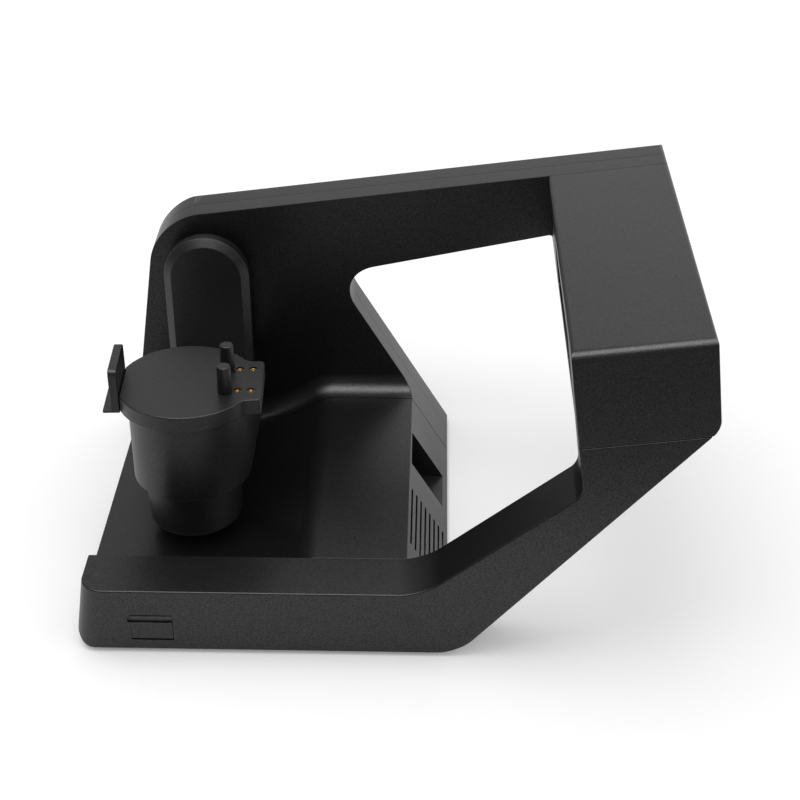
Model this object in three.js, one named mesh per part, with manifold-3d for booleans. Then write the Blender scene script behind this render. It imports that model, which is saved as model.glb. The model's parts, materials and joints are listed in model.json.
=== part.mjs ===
import * as THREE from 'three';
import { mergeVertices } from 'three/addons/utils/BufferGeometryUtils.js';
import Module from 'manifold-3d';

const wasm = await Module();
wasm.setup();

// A desktop 3d scanner, in millimetres. X runs to the right, Y away from the front face and Z up.
// Depths are counted from the front face, heights from the lower edge of the housing, and widths from
// a datum in the front edge. The last lines move the whole scanner to its own origin.

// Overall form
const DEPTH = 306;
const LEFT_FOOT_X = -158;
const LEFT_LEAN = 8.75;
const TOP_AT_DATUM = 217.7;
const TILT = 7.4;
const WALL = 2.5;
const SEAM = 0.3;
const FIT = 0.3;
const OVERRUN = 5;
const LOW_CORNER_R = 11;
const HIGH_CORNER_R = 47;
const EDGE_R = 3;
const BACK_EDGE_R = 4;

// Front frame: a low rail and the strut that carries the head
const RAIL_HEIGHT = 50.5;
const RAIL_DEPTH = 40.2;
const RAIL_PLAN_R = 16;
const STRUT_OUT_X = 109.7;
const STRUT_OUT_ANGLE = 49;
const STRUT_IN_X = 83.9;
const STRUT_IN_ANGLE = 39;
const STRUT_FOOT_R = 32;
const STRUT_ELBOW_R = 14;
const STRUT_NOOK_R = 12;
const RAIL_NOOK_R = 45;

// Head, measured along its own tilted axes
const HEAD_X = 174.7;
const HEAD_WIDTH = 90.4;
const HEAD_HEIGHT = 70;
const FOLD_R = 7;

// Upright wall of two shells, with the window cut into it
const FRONT_SHELL_DEPTH = 17.9;
const REAR_SHELL_DEPTH = 20.6;
const COVE_R = 14.6;
const SLANT_FOOT_X = 103.3;
const SLANT_ANGLE = 120.6;
const SLANT_FOOT_R = 1.2;
const WINDOW_X = 41.8;
const WINDOW_Z = 161.6;
const WINDOW_ANGLE = 12.05;
const WINDOW_R = 23;

// Base housing: low floor, ramp round the swing axis, and plateau level with the rail
const FLOOR_Z = 20;
const PLATEAU_R = 26;
const RAMP_STEP = 6;
const BASE_OPENING_MARGIN = 15;

// Swing axis, parallel to Y, through the scanned object
const SWING_X = -86;
const SWING_Z = 162;

// Swing arm, in its own axes with the swing axis at x = z = 0
const ARM_R = 33;
const ARM_THICKNESS = 12.8;
const ARM_WALL_GAP = 11.5;
const ARM_BEVEL = 5.8;
const ARM_BEVEL_DEPTH = 4.5;
const COLUMN_OFFSET = 30;
const COLUMN_R = 43;
const COLUMN_TOP_DROP = 33;
const COLUMN_BASE_DROP = 94;
const BRIDGE_STRAIGHT = 71;
const BRIDGE_END_HEIGHT = 16;
const BRIDGE_TOP_RUN = 26;
const CUP_R = 34;
const CUP_TOP_R = 36;
const CUP_HEIGHT = 39;
const CUP_EDGE_R = 4;

// Turning platform and clamp, in axes with the table axis at x = y = 0 and the top face at z = 0
const PLATFORM_DROP = 18.6;
const PLATFORM_TURN = 2.5;
const PLATFORM_R = 50;
const PLATFORM_THICKNESS = 12.4;
const FLANGE_REACH = 54.4;
const FLANGE_WIDTH = 54;
const FLANGE_R = 3;
const PIN_X = 28.6;
const PIN_SPACING = 29.6;
const PIN_R = 5.3;
const PIN_TOP_R = 4.8;
const PIN_HEIGHT = 20.7;
const PIN_SPIGOT_R = 3;
const PIN_SPIGOT_LENGTH = 6;
const INSERT_X = 37.4;
const INSERT_PITCH_X = 9.4;
const INSERT_PITCH_Y = 29.3;
const INSERT_R = 2.8;
const INSERT_Y = 1.2;
const INSERT_LENGTH = 7;
const INSERT_SINK = 1;
const JAW_X = -46;
const JAW_THICKNESS = 6.1;
const JAW_RISE = 20.6;
const JAW_DROP = 13.7;
const JAW_LIP = 6;
const JAW_LIP_THICKNESS = 2.5;
const JAW_LENGTH = 41;
const JAW_CORNER_R = 4;
const JAW_ROD_R = 2;
const JAW_ROD_SPACING = 34;
const JAW_ROD_DROP = 5;
const JAW_ROD_LENGTH = 38;
const JAW_ROD_HOLD = 3.6;

// Flap in the front rail, with the groove over it
const FLAP_X = -101.8;
const FLAP_WIDTH = 28.4;
const FLAP_THICKNESS = 2.2;
const FLAP_PIN_Z = 10.9;
const FLAP_TOP_Z = 27.2;
const FLAP_PIN_R = 0.85;
const FLAP_GAP = 0.4;
const FLAP_PIN_REACH = 2.4;
const GROOVE_HEIGHT = 2.4;
const GROOVE_DEPTH = 1.6;

// Recess and vent slits in the slanted side
const RECESS_X = 74.4;
const RECESS_Z = 7.8;
const RECESS_BACK_GAP = 48.1;
const RECESS_LENGTH = 42;
const SLIT_COUNT = 8;
const SLIT_X = 75.8;
const SLIT_PITCH = 3.3;
const SLIT_WIDTH = 1.2;
const SLIT_Y = 63.4;
const SLIT_RECESS_GAP = 31.8;

// Swing drive inside the wall
const AXLE_R = 6;
const AXLE_HEAD_R = 10;
const AXLE_HEAD_LENGTH = 2.7;
const BEARING_R = 11;
const BEARING_WIDTH = 5;
const BLOCK_R = 15;
const BLOCK_FLANGE_R = 26;
const BLOCK_FLANGE_THICKNESS = 3;
const BLOCK_LENGTH = 26;
const PULLEY_R = 20;
const PULLEY_WIDTH = 4.2;
const PULLEY_RATIO = 4;
const BELT_THICKNESS = 1.4;
const BELT_WIDTH = 3.4;
const DRIVE_DX = 58;
const DRIVE_DZ = -22;
const MOTOR_SIDE = 35;
const MOTOR_CORNER_R = 4;
const SWING_MOTOR_LENGTH = 25.6;
const MOTOR_SHAFT_R = 2.5;
const BRACKET_THICKNESS = 1.5;
const BRACKET_POST_R = 3.5;
const BRACKET_POST_SPACING = 47;
const ARM_PLATE_R = 28.7;
const ARM_PLATE_THICKNESS = 3;
const ARM_PLATE_DROP = 78;
const ARM_HUB_R = 18;
const ARM_BOSS_R = 4;
const SENSOR_SIZE = 12;
const SENSOR_LENGTH = 14;
const SENSOR_RISE = 34;

// Table drive in the column and the cup
const TABLE_MOTOR_LENGTH = 32;
const TABLE_SHAFT_R = 4;
const TABLE_HUB_R = 11;
const TABLE_HUB_LENGTH = 3.3;
const TABLE_SHAFT_SINK = 8;
const TABLE_BEARING_WIDTH = 7;
const SPINDLE_R = 15;
const SPINDLE_LENGTH = 34;
const SPINDLE_FLANGE_R = 24;
const SPINDLE_FLANGE_THICKNESS = 2.7;
const COUPLER_R = 9;
const COUPLER_LENGTH = 18;
const MOTOR_SHAFT_LENGTH = 14;
const SHAFT_INTO_COUPLER = 9;

// Optics in the head
const OPTICS_OPENING_LENGTH = 158;
const OPTICS_OPENING_LOW = 58;
const OPTICS_OPENING_HIGH = 14;
const PANE_MARGIN = 4;
const PANE_THICKNESS = 2.4;
const SHELF_X = 9;
const SHELF_WIDTH = 62;
const SHELF_FRONT_GAP = 22;
const SHELF_END_GAP = 41.2;
const SHELF_DROP = 56;
const SHELF_THICKNESS = 3;
const SHELF_POST_R = 4;
const WEB_HEIGHT = 38;
const PROJECTOR_LENGTH = 46;
const PROJECTOR_WIDTH = 56;
const PROJECTOR_HEIGHT = 34;
const PROJECTOR_X = 22;
const CAMERA_SIZE = 29;
const CAMERA_LENGTH = 30;
const CAMERA_X = 34;
const CAMERA_SPACING = 128;
const CAMERA_TOE_IN = 13;
const LENS_R = 10;
const LENS_RIM_R = 11.5;
const LENS_LENGTH = 13;
const LENS_GLASS_R = 7.5;
const LENS_GLASS_SINK = 1.5;
const HEAD_BOARD_LENGTH = 120;
const HEAD_BOARD_HEIGHT = 34;
const HEAD_BOSS_LENGTH = 6;
const BOARD_THICKNESS = 1.6;
const PORT_R = 13;

// Base plate and boards
const PLATE_Z = 0.4;
const PLATE_THICKNESS = 2;
const STANDOFF_R = 3;
const STANDOFF_HEIGHT = 5.2;
const STANDOFF_MARGIN = 5;
const MAIN_BOARD = { x: -136, y: 92, length: 110, width: 104 };
const POWER_BOARD = { x: 2, length: 58, width: 84 };
const POWER_BOARD_BACK_GAP = 18.6;

// Components on the boards: their sides as shares of the board, and their height as a share of the usual one
const MAIN_PART_SHARES = [
  [0.33, 0.5, 0.33, 0.5, 1], [0.7, 0.8, 0.25, 0.33, 0.5],
  [0.85, 0.95, 0.5, 0.8, 1], [0.2, 0.6, 0.85, 0.93, 1],
];
const POWER_PART_SHARES = [[0.25, 0.6, 0.2, 0.5, 4], [0.2, 0.33, 0.7, 0.9, 3]];
const POWER_CAN_SHARES = [[0.75, 0.3], [0.75, 0.7]];
const POWER_CAN_HEIGHT = 19.2;

// Fan
const FAN_SIZE = 40;
const FAN_DEPTH = 10;
const FAN_X = 57;
const FAN_BORE_R = 18.5;
const FAN_HUB_R = 8;
const FAN_SPOKE = 2;
const FAN_BLADES = 7;
const FAN_BLADE_TILT = 35;
const FAN_BLADE_SHARE = 0.8;

// Sockets
const INLET_SIZE = 11;
const INLET_LENGTH = 9;
const INLET_BORE_R = 2.9;
const INLET_PIN_R = 0.9;
const SOCKET_WIDTH = 9.4;
const SOCKET_HEIGHT = 3.6;
const SOCKET_LENGTH = 8;
const SOCKET_SKIN = 0.5;
const SOCKET_TONGUE = 0.8;
const SOCKET_BORE_DEPTH = 6;
const PORT_BOARD_Z = 11.6;
const PORT_BOARD_Y = 5.5;
const PORT_BOARD_DEPTH = 26;
const PORT_BOARD_WIDTH = 24;
const PORT_POST_R = 2.5;

// Rocker switch on the back
const SWITCH_X = -60;
const SWITCH_Z = 60;
const SWITCH_WIDTH = 15;
const SWITCH_HEIGHT = 21;
const SWITCH_RIM = 1.2;
const SWITCH_BODY_LENGTH = 14;
const ROCKER_WIDTH = 9;
const ROCKER_HALF_HEIGHT = 7.5;
const ROCKER_FACE = 5.4;
const ROCKER_DIP = 4.4;
const ROCKER_REST = 7;

// Feet, screws
const FOOT_R = 9;
const FOOT_HEIGHT = 3;
const FOOT_INSET_X = 22;
const FOOT_INSET_Y = 20;
const SCREW_R = 1.4;
const SCREW_HEAD_R = 2.7;
const SCREW_LENGTH = 9;
const SCREW_CLEARANCE = 0.25;
const BOSS_R = 4;

// Smoothness of round forms
const ARC_STEP = 15;
const FINE_SIDES = 36;
const PLAIN_SIDES = 20;
const SMALL_SIDES = 12;
const COVE_STEPS = 4;
const COVE_LENGTH_STEPS = 20;
const BEVEL_STEPS = 3;

// Planes that several pieces share
const WALL_FRONT_Y = DEPTH - REAR_SHELL_DEPTH - FRONT_SHELL_DEPTH;
const SHELL_SEAM_Y = DEPTH - REAR_SHELL_DEPTH;
const COVE_TOE_Y = WALL_FRONT_Y - COVE_R;
const WALL_INNER_Y = WALL_FRONT_Y + WALL;
const BACK_INNER_Y = DEPTH - WALL;
const BASE_FRONT_Y = RAIL_DEPTH + SEAM;
const BASE_BACK_Y = COVE_TOE_Y - SEAM;
// The column stands a little in front of the middle of the bay between the rail and the wall
const COLUMN_Y = (BASE_FRONT_Y + WALL_FRONT_Y) / 2 - COLUMN_OFFSET;
// Recess and power board are set out from the base's back, and the slits fill the side in front of the recess
const RECESS_Y = BASE_BACK_Y - RECESS_BACK_GAP - RECESS_LENGTH;
const SLIT_LENGTH = RECESS_Y - SLIT_RECESS_GAP - SLIT_Y;
const POWER_BOARD_Y = BASE_BACK_Y - POWER_BOARD_BACK_GAP - POWER_BOARD.width;
const FLOOR_TOP = PLATE_Z + PLATE_THICKNESS;
const OUT = 10 * DEPTH;

// Points, lines and outlines in a plane; an outline is a list of corners, each with its radius
const rad = THREE.MathUtils.degToRad;

function lineAt(x, z, degrees) {
  return { x, z, ux: Math.cos(rad(degrees)), uz: Math.sin(rad(degrees)) };
}

function shifted(line, distance) {
  return { ...line, x: line.x - line.uz * distance, z: line.z + line.ux * distance };
}

function crossing(a, b, r = 0) {
  const t = ((b.x - a.x) * b.uz - (b.z - a.z) * b.ux) / (a.ux * b.uz - a.uz * b.ux);
  return { x: a.x + a.ux * t, z: a.z + a.uz * t, r };
}

function xOn(line, z) {
  return line.x + (z - line.z) * line.ux / line.uz;
}

function corner(x, z, r = 0) {
  return { x, z, r };
}

function edgeFrom(a, b) {
  const length = Math.hypot(b.x - a.x, b.z - a.z);
  return { x: a.x, z: a.z, ux: (b.x - a.x) / length, uz: (b.z - a.z) / length };
}

function inset(outline, depth) {
  const count = outline.length;
  const edges = outline.map((c, i) => shifted(edgeFrom(c, outline[(i + 1) % count]), depth));
  return outline.map((c, i) => {
    const before = edges[(i + count - 1) % count];
    const after = edges[i];
    const turn = before.ux * after.uz - before.uz * after.ux;
    const r = turn > 0 ? Math.max(c.r - depth, 0) : c.r + depth * Math.sign(c.r);
    return crossing(before, after, r);
  });
}

function rounded(outline) {
  const count = outline.length;
  const points = [];
  outline.forEach((c, i) => {
    if (c.r === 0) {
      points.push(new THREE.Vector2(c.x, c.z));
      return;
    }
    const a = edgeFrom(outline[(i + count - 1) % count], c);
    const b = edgeFrom(c, outline[(i + 1) % count]);
    const turn = Math.atan2(a.ux * b.uz - a.uz * b.ux, a.ux * b.ux + a.uz * b.uz);
    const reach = c.r * Math.tan(Math.abs(turn) / 2);
    const start = new THREE.Vector2(c.x - a.ux * reach, c.z - a.uz * reach);
    const side = Math.sign(turn) * c.r;
    const centre = new THREE.Vector2(start.x - a.uz * side, start.y + a.ux * side);
    const steps = Math.max(2, Math.ceil(Math.abs(turn) / rad(ARC_STEP)));
    for (let k = 0; k <= steps; k++) {
      points.push(start.clone().rotateAround(centre, turn * k / steps));
    }
  });
  return points;
}

function rectangle(x0, x1, z0, z1, r = 0) {
  return [corner(x0, z0, r), corner(x1, z0, r), corner(x1, z1, r), corner(x0, z1, r)];
}

// Closed geometries become solids, which are cut and joined, and then become meshes
function solid(geometry) {
  const bare = new THREE.BufferGeometry();
  bare.setAttribute('position', geometry.getAttribute('position'));
  bare.setIndex(geometry.getIndex());
  const merged = mergeVertices(bare, 1e-4);
  const index = merged.getIndex().array;
  const kept = [];
  for (let i = 0; i < index.length; i += 3) {
    const [a, b, c] = [index[i], index[i + 1], index[i + 2]];
    if (a !== b && b !== c && c !== a) kept.push(a, b, c);
  }
  const vertProperties = new Float32Array(merged.getAttribute('position').array);
  return new wasm.Manifold(new wasm.Mesh({ numProp: 3, vertProperties, triVerts: new Uint32Array(kept) }));
}

function joined(first, ...others) {
  return others.reduce((sum, piece) => sum.add(piece), first);
}

function cut(first, ...tools) {
  return tools.reduce((rest, tool) => rest.subtract(tool), first);
}

function common(a, b) {
  return a.intersect(b);
}

function alongY(outline, y0, y1) {
  const shape = new THREE.Shape(rounded(outline));
  const geometry = new THREE.ExtrudeGeometry(shape, { depth: y1 - y0, bevelEnabled: false });
  geometry.rotateX(Math.PI / 2);
  geometry.translate(0, y1, 0);
  return solid(geometry);
}

function alongX(outline, x0, x1) {
  const shape = new THREE.Shape(rounded(outline));
  const geometry = new THREE.ExtrudeGeometry(shape, { depth: x1 - x0, bevelEnabled: false });
  geometry.rotateX(Math.PI / 2);
  geometry.rotateZ(Math.PI / 2);
  geometry.translate(x0, 0, 0);
  return solid(geometry);
}

function alongZ(outline, z0, z1) {
  const shape = new THREE.Shape(rounded(outline));
  const geometry = new THREE.ExtrudeGeometry(shape, { depth: z1 - z0, bevelEnabled: false });
  geometry.translate(0, 0, z0);
  return solid(geometry);
}

function block(x0, x1, y0, y1, z0, z1) {
  const geometry = new THREE.BoxGeometry(x1 - x0, y1 - y0, z1 - z0);
  geometry.translate((x0 + x1) / 2, (y0 + y1) / 2, (z0 + z1) / 2);
  return solid(geometry);
}

function rod(axis, x, y, z, r, length, sides = PLAIN_SIDES, endR = r) {
  const geometry = new THREE.CylinderGeometry(endR, r, length, sides);
  geometry.translate(0, length / 2, 0);
  if (axis === 'x') geometry.rotateZ(-Math.PI / 2);
  if (axis === 'z') geometry.rotateX(Math.PI / 2);
  geometry.translate(x, y, z);
  return solid(geometry);
}

function ring(axis, x, y, z, r, boreR, length, sides = PLAIN_SIDES) {
  const outer = rod(axis, x, y, z, r, length, sides);
  const over = boreR;
  const shift = { x: axis === 'x' ? over : 0, y: axis === 'y' ? over : 0, z: axis === 'z' ? over : 0 };
  const bore = rod(axis, x - shift.x, y - shift.y, z - shift.z, boreR, length + 2 * over, sides);
  return cut(outer, bore);
}

function finish(color, roughness, metalness = 0) {
  return { color, roughness, metalness };
}

const MOULDED = finish(0x2b2c2d, 0.62);
const ARM_PLASTIC = finish(0x343536, 0.7);
const SOFT_RUBBER = finish(0x161616, 0.9);
const PLAIN_STEEL = finish(0x8d9093, 0.42, 1);
const ALUMINIUM = finish(0xb4b7ba, 0.38, 1);
const BRASS = finish(0xb98c3a, 0.35, 1);
const BLACK_STEEL = finish(0x232425, 0.45, 0.6);
const MOTOR_BODY = finish(0x3c3e41, 0.5, 0.8);
const BOARD_GREEN = finish(0x1f4a34, 0.55);
const DARK_GLASS = finish(0x0c0d10, 0.08);
const LENS_GLASS = finish(0x1a2333, 0.04);

function place(parent, name, body, look) {
  const shape = body.getMesh();
  const geometry = new THREE.BufferGeometry();
  const position = new Float32Array(shape.numVert * 3);
  for (let i = 0; i < shape.numVert; i++) {
    for (let k = 0; k < 3; k++) position[3 * i + k] = shape.vertProperties[i * shape.numProp + k];
  }
  geometry.setAttribute('position', new THREE.BufferAttribute(position, 3));
  geometry.setIndex(new THREE.BufferAttribute(new Uint32Array(shape.triVerts), 1));
  geometry.computeVertexNormals();
  const mesh = new THREE.Mesh(geometry, new THREE.MeshStandardMaterial(look));
  mesh.name = name;
  parent.add(mesh);
}

function group(parent, x = 0, y = 0, z = 0) {
  const made = new THREE.Group();
  made.position.set(x, y, z);
  parent.add(made);
  return made;
}

// Lines of the front view
const bottomLine = lineAt(0, 0, 0);
const leftLine = lineAt(LEFT_FOOT_X, 0, 90 - LEFT_LEAN);
const topLine = lineAt(0, TOP_AT_DATUM, TILT);
const railTopLine = lineAt(0, RAIL_HEIGHT, 0);
const slantLine = lineAt(SLANT_FOOT_X, 0, SLANT_ANGLE);
const windowLine = lineAt(WINDOW_X, WINDOW_Z, WINDOW_ANGLE);
const strutOutLine = lineAt(STRUT_OUT_X, 0, STRUT_OUT_ANGLE);
const strutInLine = lineAt(STRUT_IN_X, RAIL_HEIGHT, STRUT_IN_ANGLE);
const headCorner = crossing(topLine, lineAt(HEAD_X, 0, 90));
const headLeftLine = lineAt(headCorner.x, headCorner.z, 90 + TILT);
const headRightLine = shifted(headLeftLine, -HEAD_WIDTH);
const headBottomLine = shifted(topLine, -HEAD_HEIGHT);

// Outlines of the front view, counter-clockwise
const frameOutline = [
  crossing(leftLine, bottomLine, LOW_CORNER_R),
  crossing(bottomLine, strutOutLine, STRUT_FOOT_R),
  crossing(strutOutLine, headRightLine, STRUT_ELBOW_R),
  crossing(headRightLine, topLine),
  crossing(topLine, headLeftLine),
  crossing(headLeftLine, strutInLine, STRUT_NOOK_R),
  crossing(strutInLine, railTopLine, RAIL_NOOK_R),
  crossing(railTopLine, leftLine),
];

const wallOutline = [
  crossing(leftLine, bottomLine, LOW_CORNER_R),
  crossing(bottomLine, slantLine, SLANT_FOOT_R),
  crossing(slantLine, windowLine, WINDOW_R),
  crossing(windowLine, headLeftLine, EDGE_R),
  crossing(headLeftLine, headBottomLine, EDGE_R),
  crossing(headBottomLine, strutOutLine),
  crossing(strutOutLine, headRightLine, STRUT_ELBOW_R),
  crossing(headRightLine, topLine, EDGE_R),
  crossing(topLine, leftLine, HIGH_CORNER_R),
];

// The head's own axes start at its upper left corner, with x across and z up
function inHead(line, degrees) {
  const dx = line.x - headCorner.x;
  const dz = line.z - headCorner.z;
  const t = rad(TILT);
  return lineAt(dx * Math.cos(t) + dz * Math.sin(t), dz * Math.cos(t) - dx * Math.sin(t), degrees - TILT);
}

function headOutline(low) {
  const bottom = lineAt(0, low, 0);
  const strut = inHead(strutOutLine, STRUT_OUT_ANGLE);
  const side = lineAt(HEAD_WIDTH, 0, 90);
  return [
    corner(0, low), crossing(strut, bottom), crossing(strut, side, STRUT_ELBOW_R),
    corner(HEAD_WIDTH, 0, EDGE_R), corner(0, 0, EDGE_R),
  ];
}

// The ramp keeps one distance from the swing axis, from the floor up to the plateau
const RAMP_R = SWING_Z - FLOOR_Z;
const rampAngle = THREE.MathUtils.radToDeg(Math.acos((SWING_Z - RAIL_HEIGHT) / RAMP_R));
const rampSteps = Math.ceil(rampAngle / RAMP_STEP);
const ramp = [];
for (let i = rampSteps; i >= 0; i--) {
  const a = rad(rampAngle * i / rampSteps);
  const r = i === rampSteps ? PLATEAU_R : 0;
  ramp.push(corner(SWING_X + RAMP_R * Math.sin(a), SWING_Z - RAMP_R * Math.cos(a), r));
}
const baseOutline = [
  crossing(leftLine, bottomLine, LOW_CORNER_R),
  crossing(bottomLine, slantLine, SLANT_FOOT_R),
  crossing(slantLine, railTopLine),
  ...ramp,
  crossing(lineAt(0, FLOOR_Z, 0), leftLine),
];

// Upper edge of the base from left to right, as a path for the cove
class TopPath extends THREE.Curve {
  constructor(points) {
    super();
    this.points = points;
  }

  getPoint(t) {
    const first = this.points[0];
    const last = this.points[this.points.length - 1];
    const x = first.x + (last.x - first.x) * t;
    const next = this.points.findIndex((p, i) => i > 0 && p.x >= x - 1e-6);
    const a = this.points[next - 1];
    const b = this.points[next];
    return new THREE.Vector3(x, 0, a.y + (b.y - a.y) * (x - a.x) / (b.x - a.x));
  }
}

function coveSweep() {
  const end = crossing(slantLine, railTopLine);
  const start = crossing(lineAt(0, FLOOR_Z, 0), leftLine);
  const points = rounded(baseOutline).filter((p) => p.y >= FLOOR_Z - 1e-6 && p.x <= end.x + 1e-6);
  points.sort((a, b) => a.x - b.x);
  const path = new TopPath(points.filter((p) => p.x >= start.x - 1e-6));
  const section = [new THREE.Vector2(WALL, -COVE_R), new THREE.Vector2(0, -COVE_R)];
  for (let k = 0; k <= COVE_STEPS; k++) {
    const a = rad(90 * k / COVE_STEPS);
    section.push(new THREE.Vector2(-COVE_R * (1 - Math.cos(a)), -COVE_R * (1 - Math.sin(a))));
  }
  section.push(new THREE.Vector2(-COVE_R, WALL), new THREE.Vector2(WALL, WALL));
  const shape = new THREE.Shape(section);
  const steps = COVE_LENGTH_STEPS;
  const geometry = new THREE.ExtrudeGeometry(shape, { steps, extrudePath: path, bevelEnabled: false });
  geometry.translate(0, WALL_FRONT_Y, 0);
  return solid(geometry);
}

const scanner = new THREE.Group();

// Front frame
function makeFrontFrame() {
  const xEnd = crossing(strutOutLine, headRightLine).x + OVERRUN;
  const plan = (gap) => [
    corner(LEFT_FOOT_X + gap, gap, RAIL_PLAN_R - gap),
    corner(xEnd, gap),
    corner(xEnd, RAIL_DEPTH + 2 * OVERRUN),
    corner(LEFT_FOOT_X + gap, RAIL_DEPTH + 2 * OVERRUN),
  ];
  const height = headCorner.z;
  const below = (gap, y0, y1) => alongY([
    corner(LEFT_FOOT_X - OVERRUN, -OVERRUN), corner(xEnd, -OVERRUN),
    crossing(shifted(headBottomLine, -gap), lineAt(xEnd, 0, 90)),
    crossing(shifted(headBottomLine, -gap), lineAt(LEFT_FOOT_X - OVERRUN, 0, 90)),
  ], y0, y1);
  const skin = common(
    common(alongY(frameOutline, 0, RAIL_DEPTH), below(0, -OVERRUN, RAIL_DEPTH + OVERRUN)),
    alongZ(plan(0), -OVERRUN, height),
  );
  const hollow = alongY(inset(frameOutline, WALL), WALL, RAIL_DEPTH + OVERRUN);
  const cavity = common(
    common(hollow, below(WALL, 0, RAIL_DEPTH + 2 * OVERRUN)),
    alongZ(plan(WALL), -OVERRUN, height),
  );
  const half = FLAP_WIDTH / 2 + FLAP_GAP;
  const earHalf = half + FLAP_PIN_REACH + WALL;
  const barrel = FLAP_THICKNESS + FLAP_GAP;
  const ears = cut(
    block(
      FLAP_X - earHalf, FLAP_X + earHalf, WALL / 2, 2 * barrel, FLAP_PIN_Z - barrel, FLAP_PIN_Z + barrel,
    ),
    block(FLAP_X - half, FLAP_X + half, 0, 2 * barrel + OVERRUN, FLAP_PIN_Z - OVERRUN, FLAP_PIN_Z + OVERRUN),
  );
  const doorTop = FLAP_TOP_Z + FLAP_GAP;
  const doorway = block(FLAP_X - half, FLAP_X + half, -OVERRUN, 2 * WALL, FLAP_PIN_Z - barrel, doorTop);
  const grooveTop = FLAP_TOP_Z + GROOVE_HEIGHT;
  const groove = block(FLAP_X - half, FLAP_X + half, -OVERRUN, GROOVE_DEPTH, FLAP_TOP_Z, grooveTop);
  const pinHalf = FLAP_WIDTH / 2 + FLAP_GAP + FLAP_PIN_REACH;
  const pinBoreR = FLAP_PIN_R + FIT / 2;
  const pinBore = rod('x', FLAP_X - pinHalf, FLAP_THICKNESS, FLAP_PIN_Z, pinBoreR, 2 * pinHalf, SMALL_SIDES);
  const posts = [-1, 1].map((side) => {
    const y = PORT_BOARD_Y + PORT_BOARD_DEPTH / 2;
    const x = FLAP_X + side * (PORT_BOARD_WIDTH / 2 - PORT_POST_R);
    return rod('z', x, y, WALL / 2, PORT_POST_R, PORT_BOARD_Z - FIT - WALL / 2, SMALL_SIDES);
  });
  place(
    scanner, 'front_frame',
    cut(joined(cut(skin, cavity), ears, ...posts), doorway, groove, pinBore), MOULDED,
  );
  const lid = common(
    alongY(inset(frameOutline, WALL + FIT), RAIL_DEPTH - WALL, RAIL_DEPTH),
    below(WALL + FIT, 0, RAIL_DEPTH + OVERRUN),
  );
  const railSide = block(LEFT_FOOT_X, ramp[0].x, 0, RAIL_DEPTH + OVERRUN, FLOOR_Z - WALL, RAIL_HEIGHT);
  place(scanner, 'rail_rear_cover', common(lid, railSide), MOULDED);
  const baseTop = crossing(slantLine, railTopLine);
  const strutSide = alongY([
    corner(SLANT_FOOT_X + FIT, -OVERRUN), corner(OUT, -OVERRUN), corner(OUT, OUT), corner(baseTop.x, OUT),
    corner(baseTop.x + FIT, baseTop.z),
  ], 0, RAIL_DEPTH + OVERRUN);
  place(scanner, 'strut_rear_cover', common(lid, strutSide), MOULDED);
}

// Base housing
const powerBoard = { ...POWER_BOARD, y: POWER_BOARD_Y };

function boardCorners(board) {
  const near = STANDOFF_MARGIN;
  const right = board.x + board.length - near;
  const back = board.y + board.width - near;
  return [[board.x + near, board.y + near], [right, board.y + near], [board.x + near, back], [right, back]];
}

const bossSpots = [
  [LEFT_FOOT_X + 2 * BASE_OPENING_MARGIN, BASE_FRONT_Y + BASE_OPENING_MARGIN],
  [SWING_X + RAMP_R / 2, BASE_FRONT_Y + BASE_OPENING_MARGIN],
  [LEFT_FOOT_X + 2 * BASE_OPENING_MARGIN, BASE_BACK_Y - BASE_OPENING_MARGIN],
  [SWING_X + RAMP_R / 2, BASE_BACK_Y - BASE_OPENING_MARGIN],
];

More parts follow.
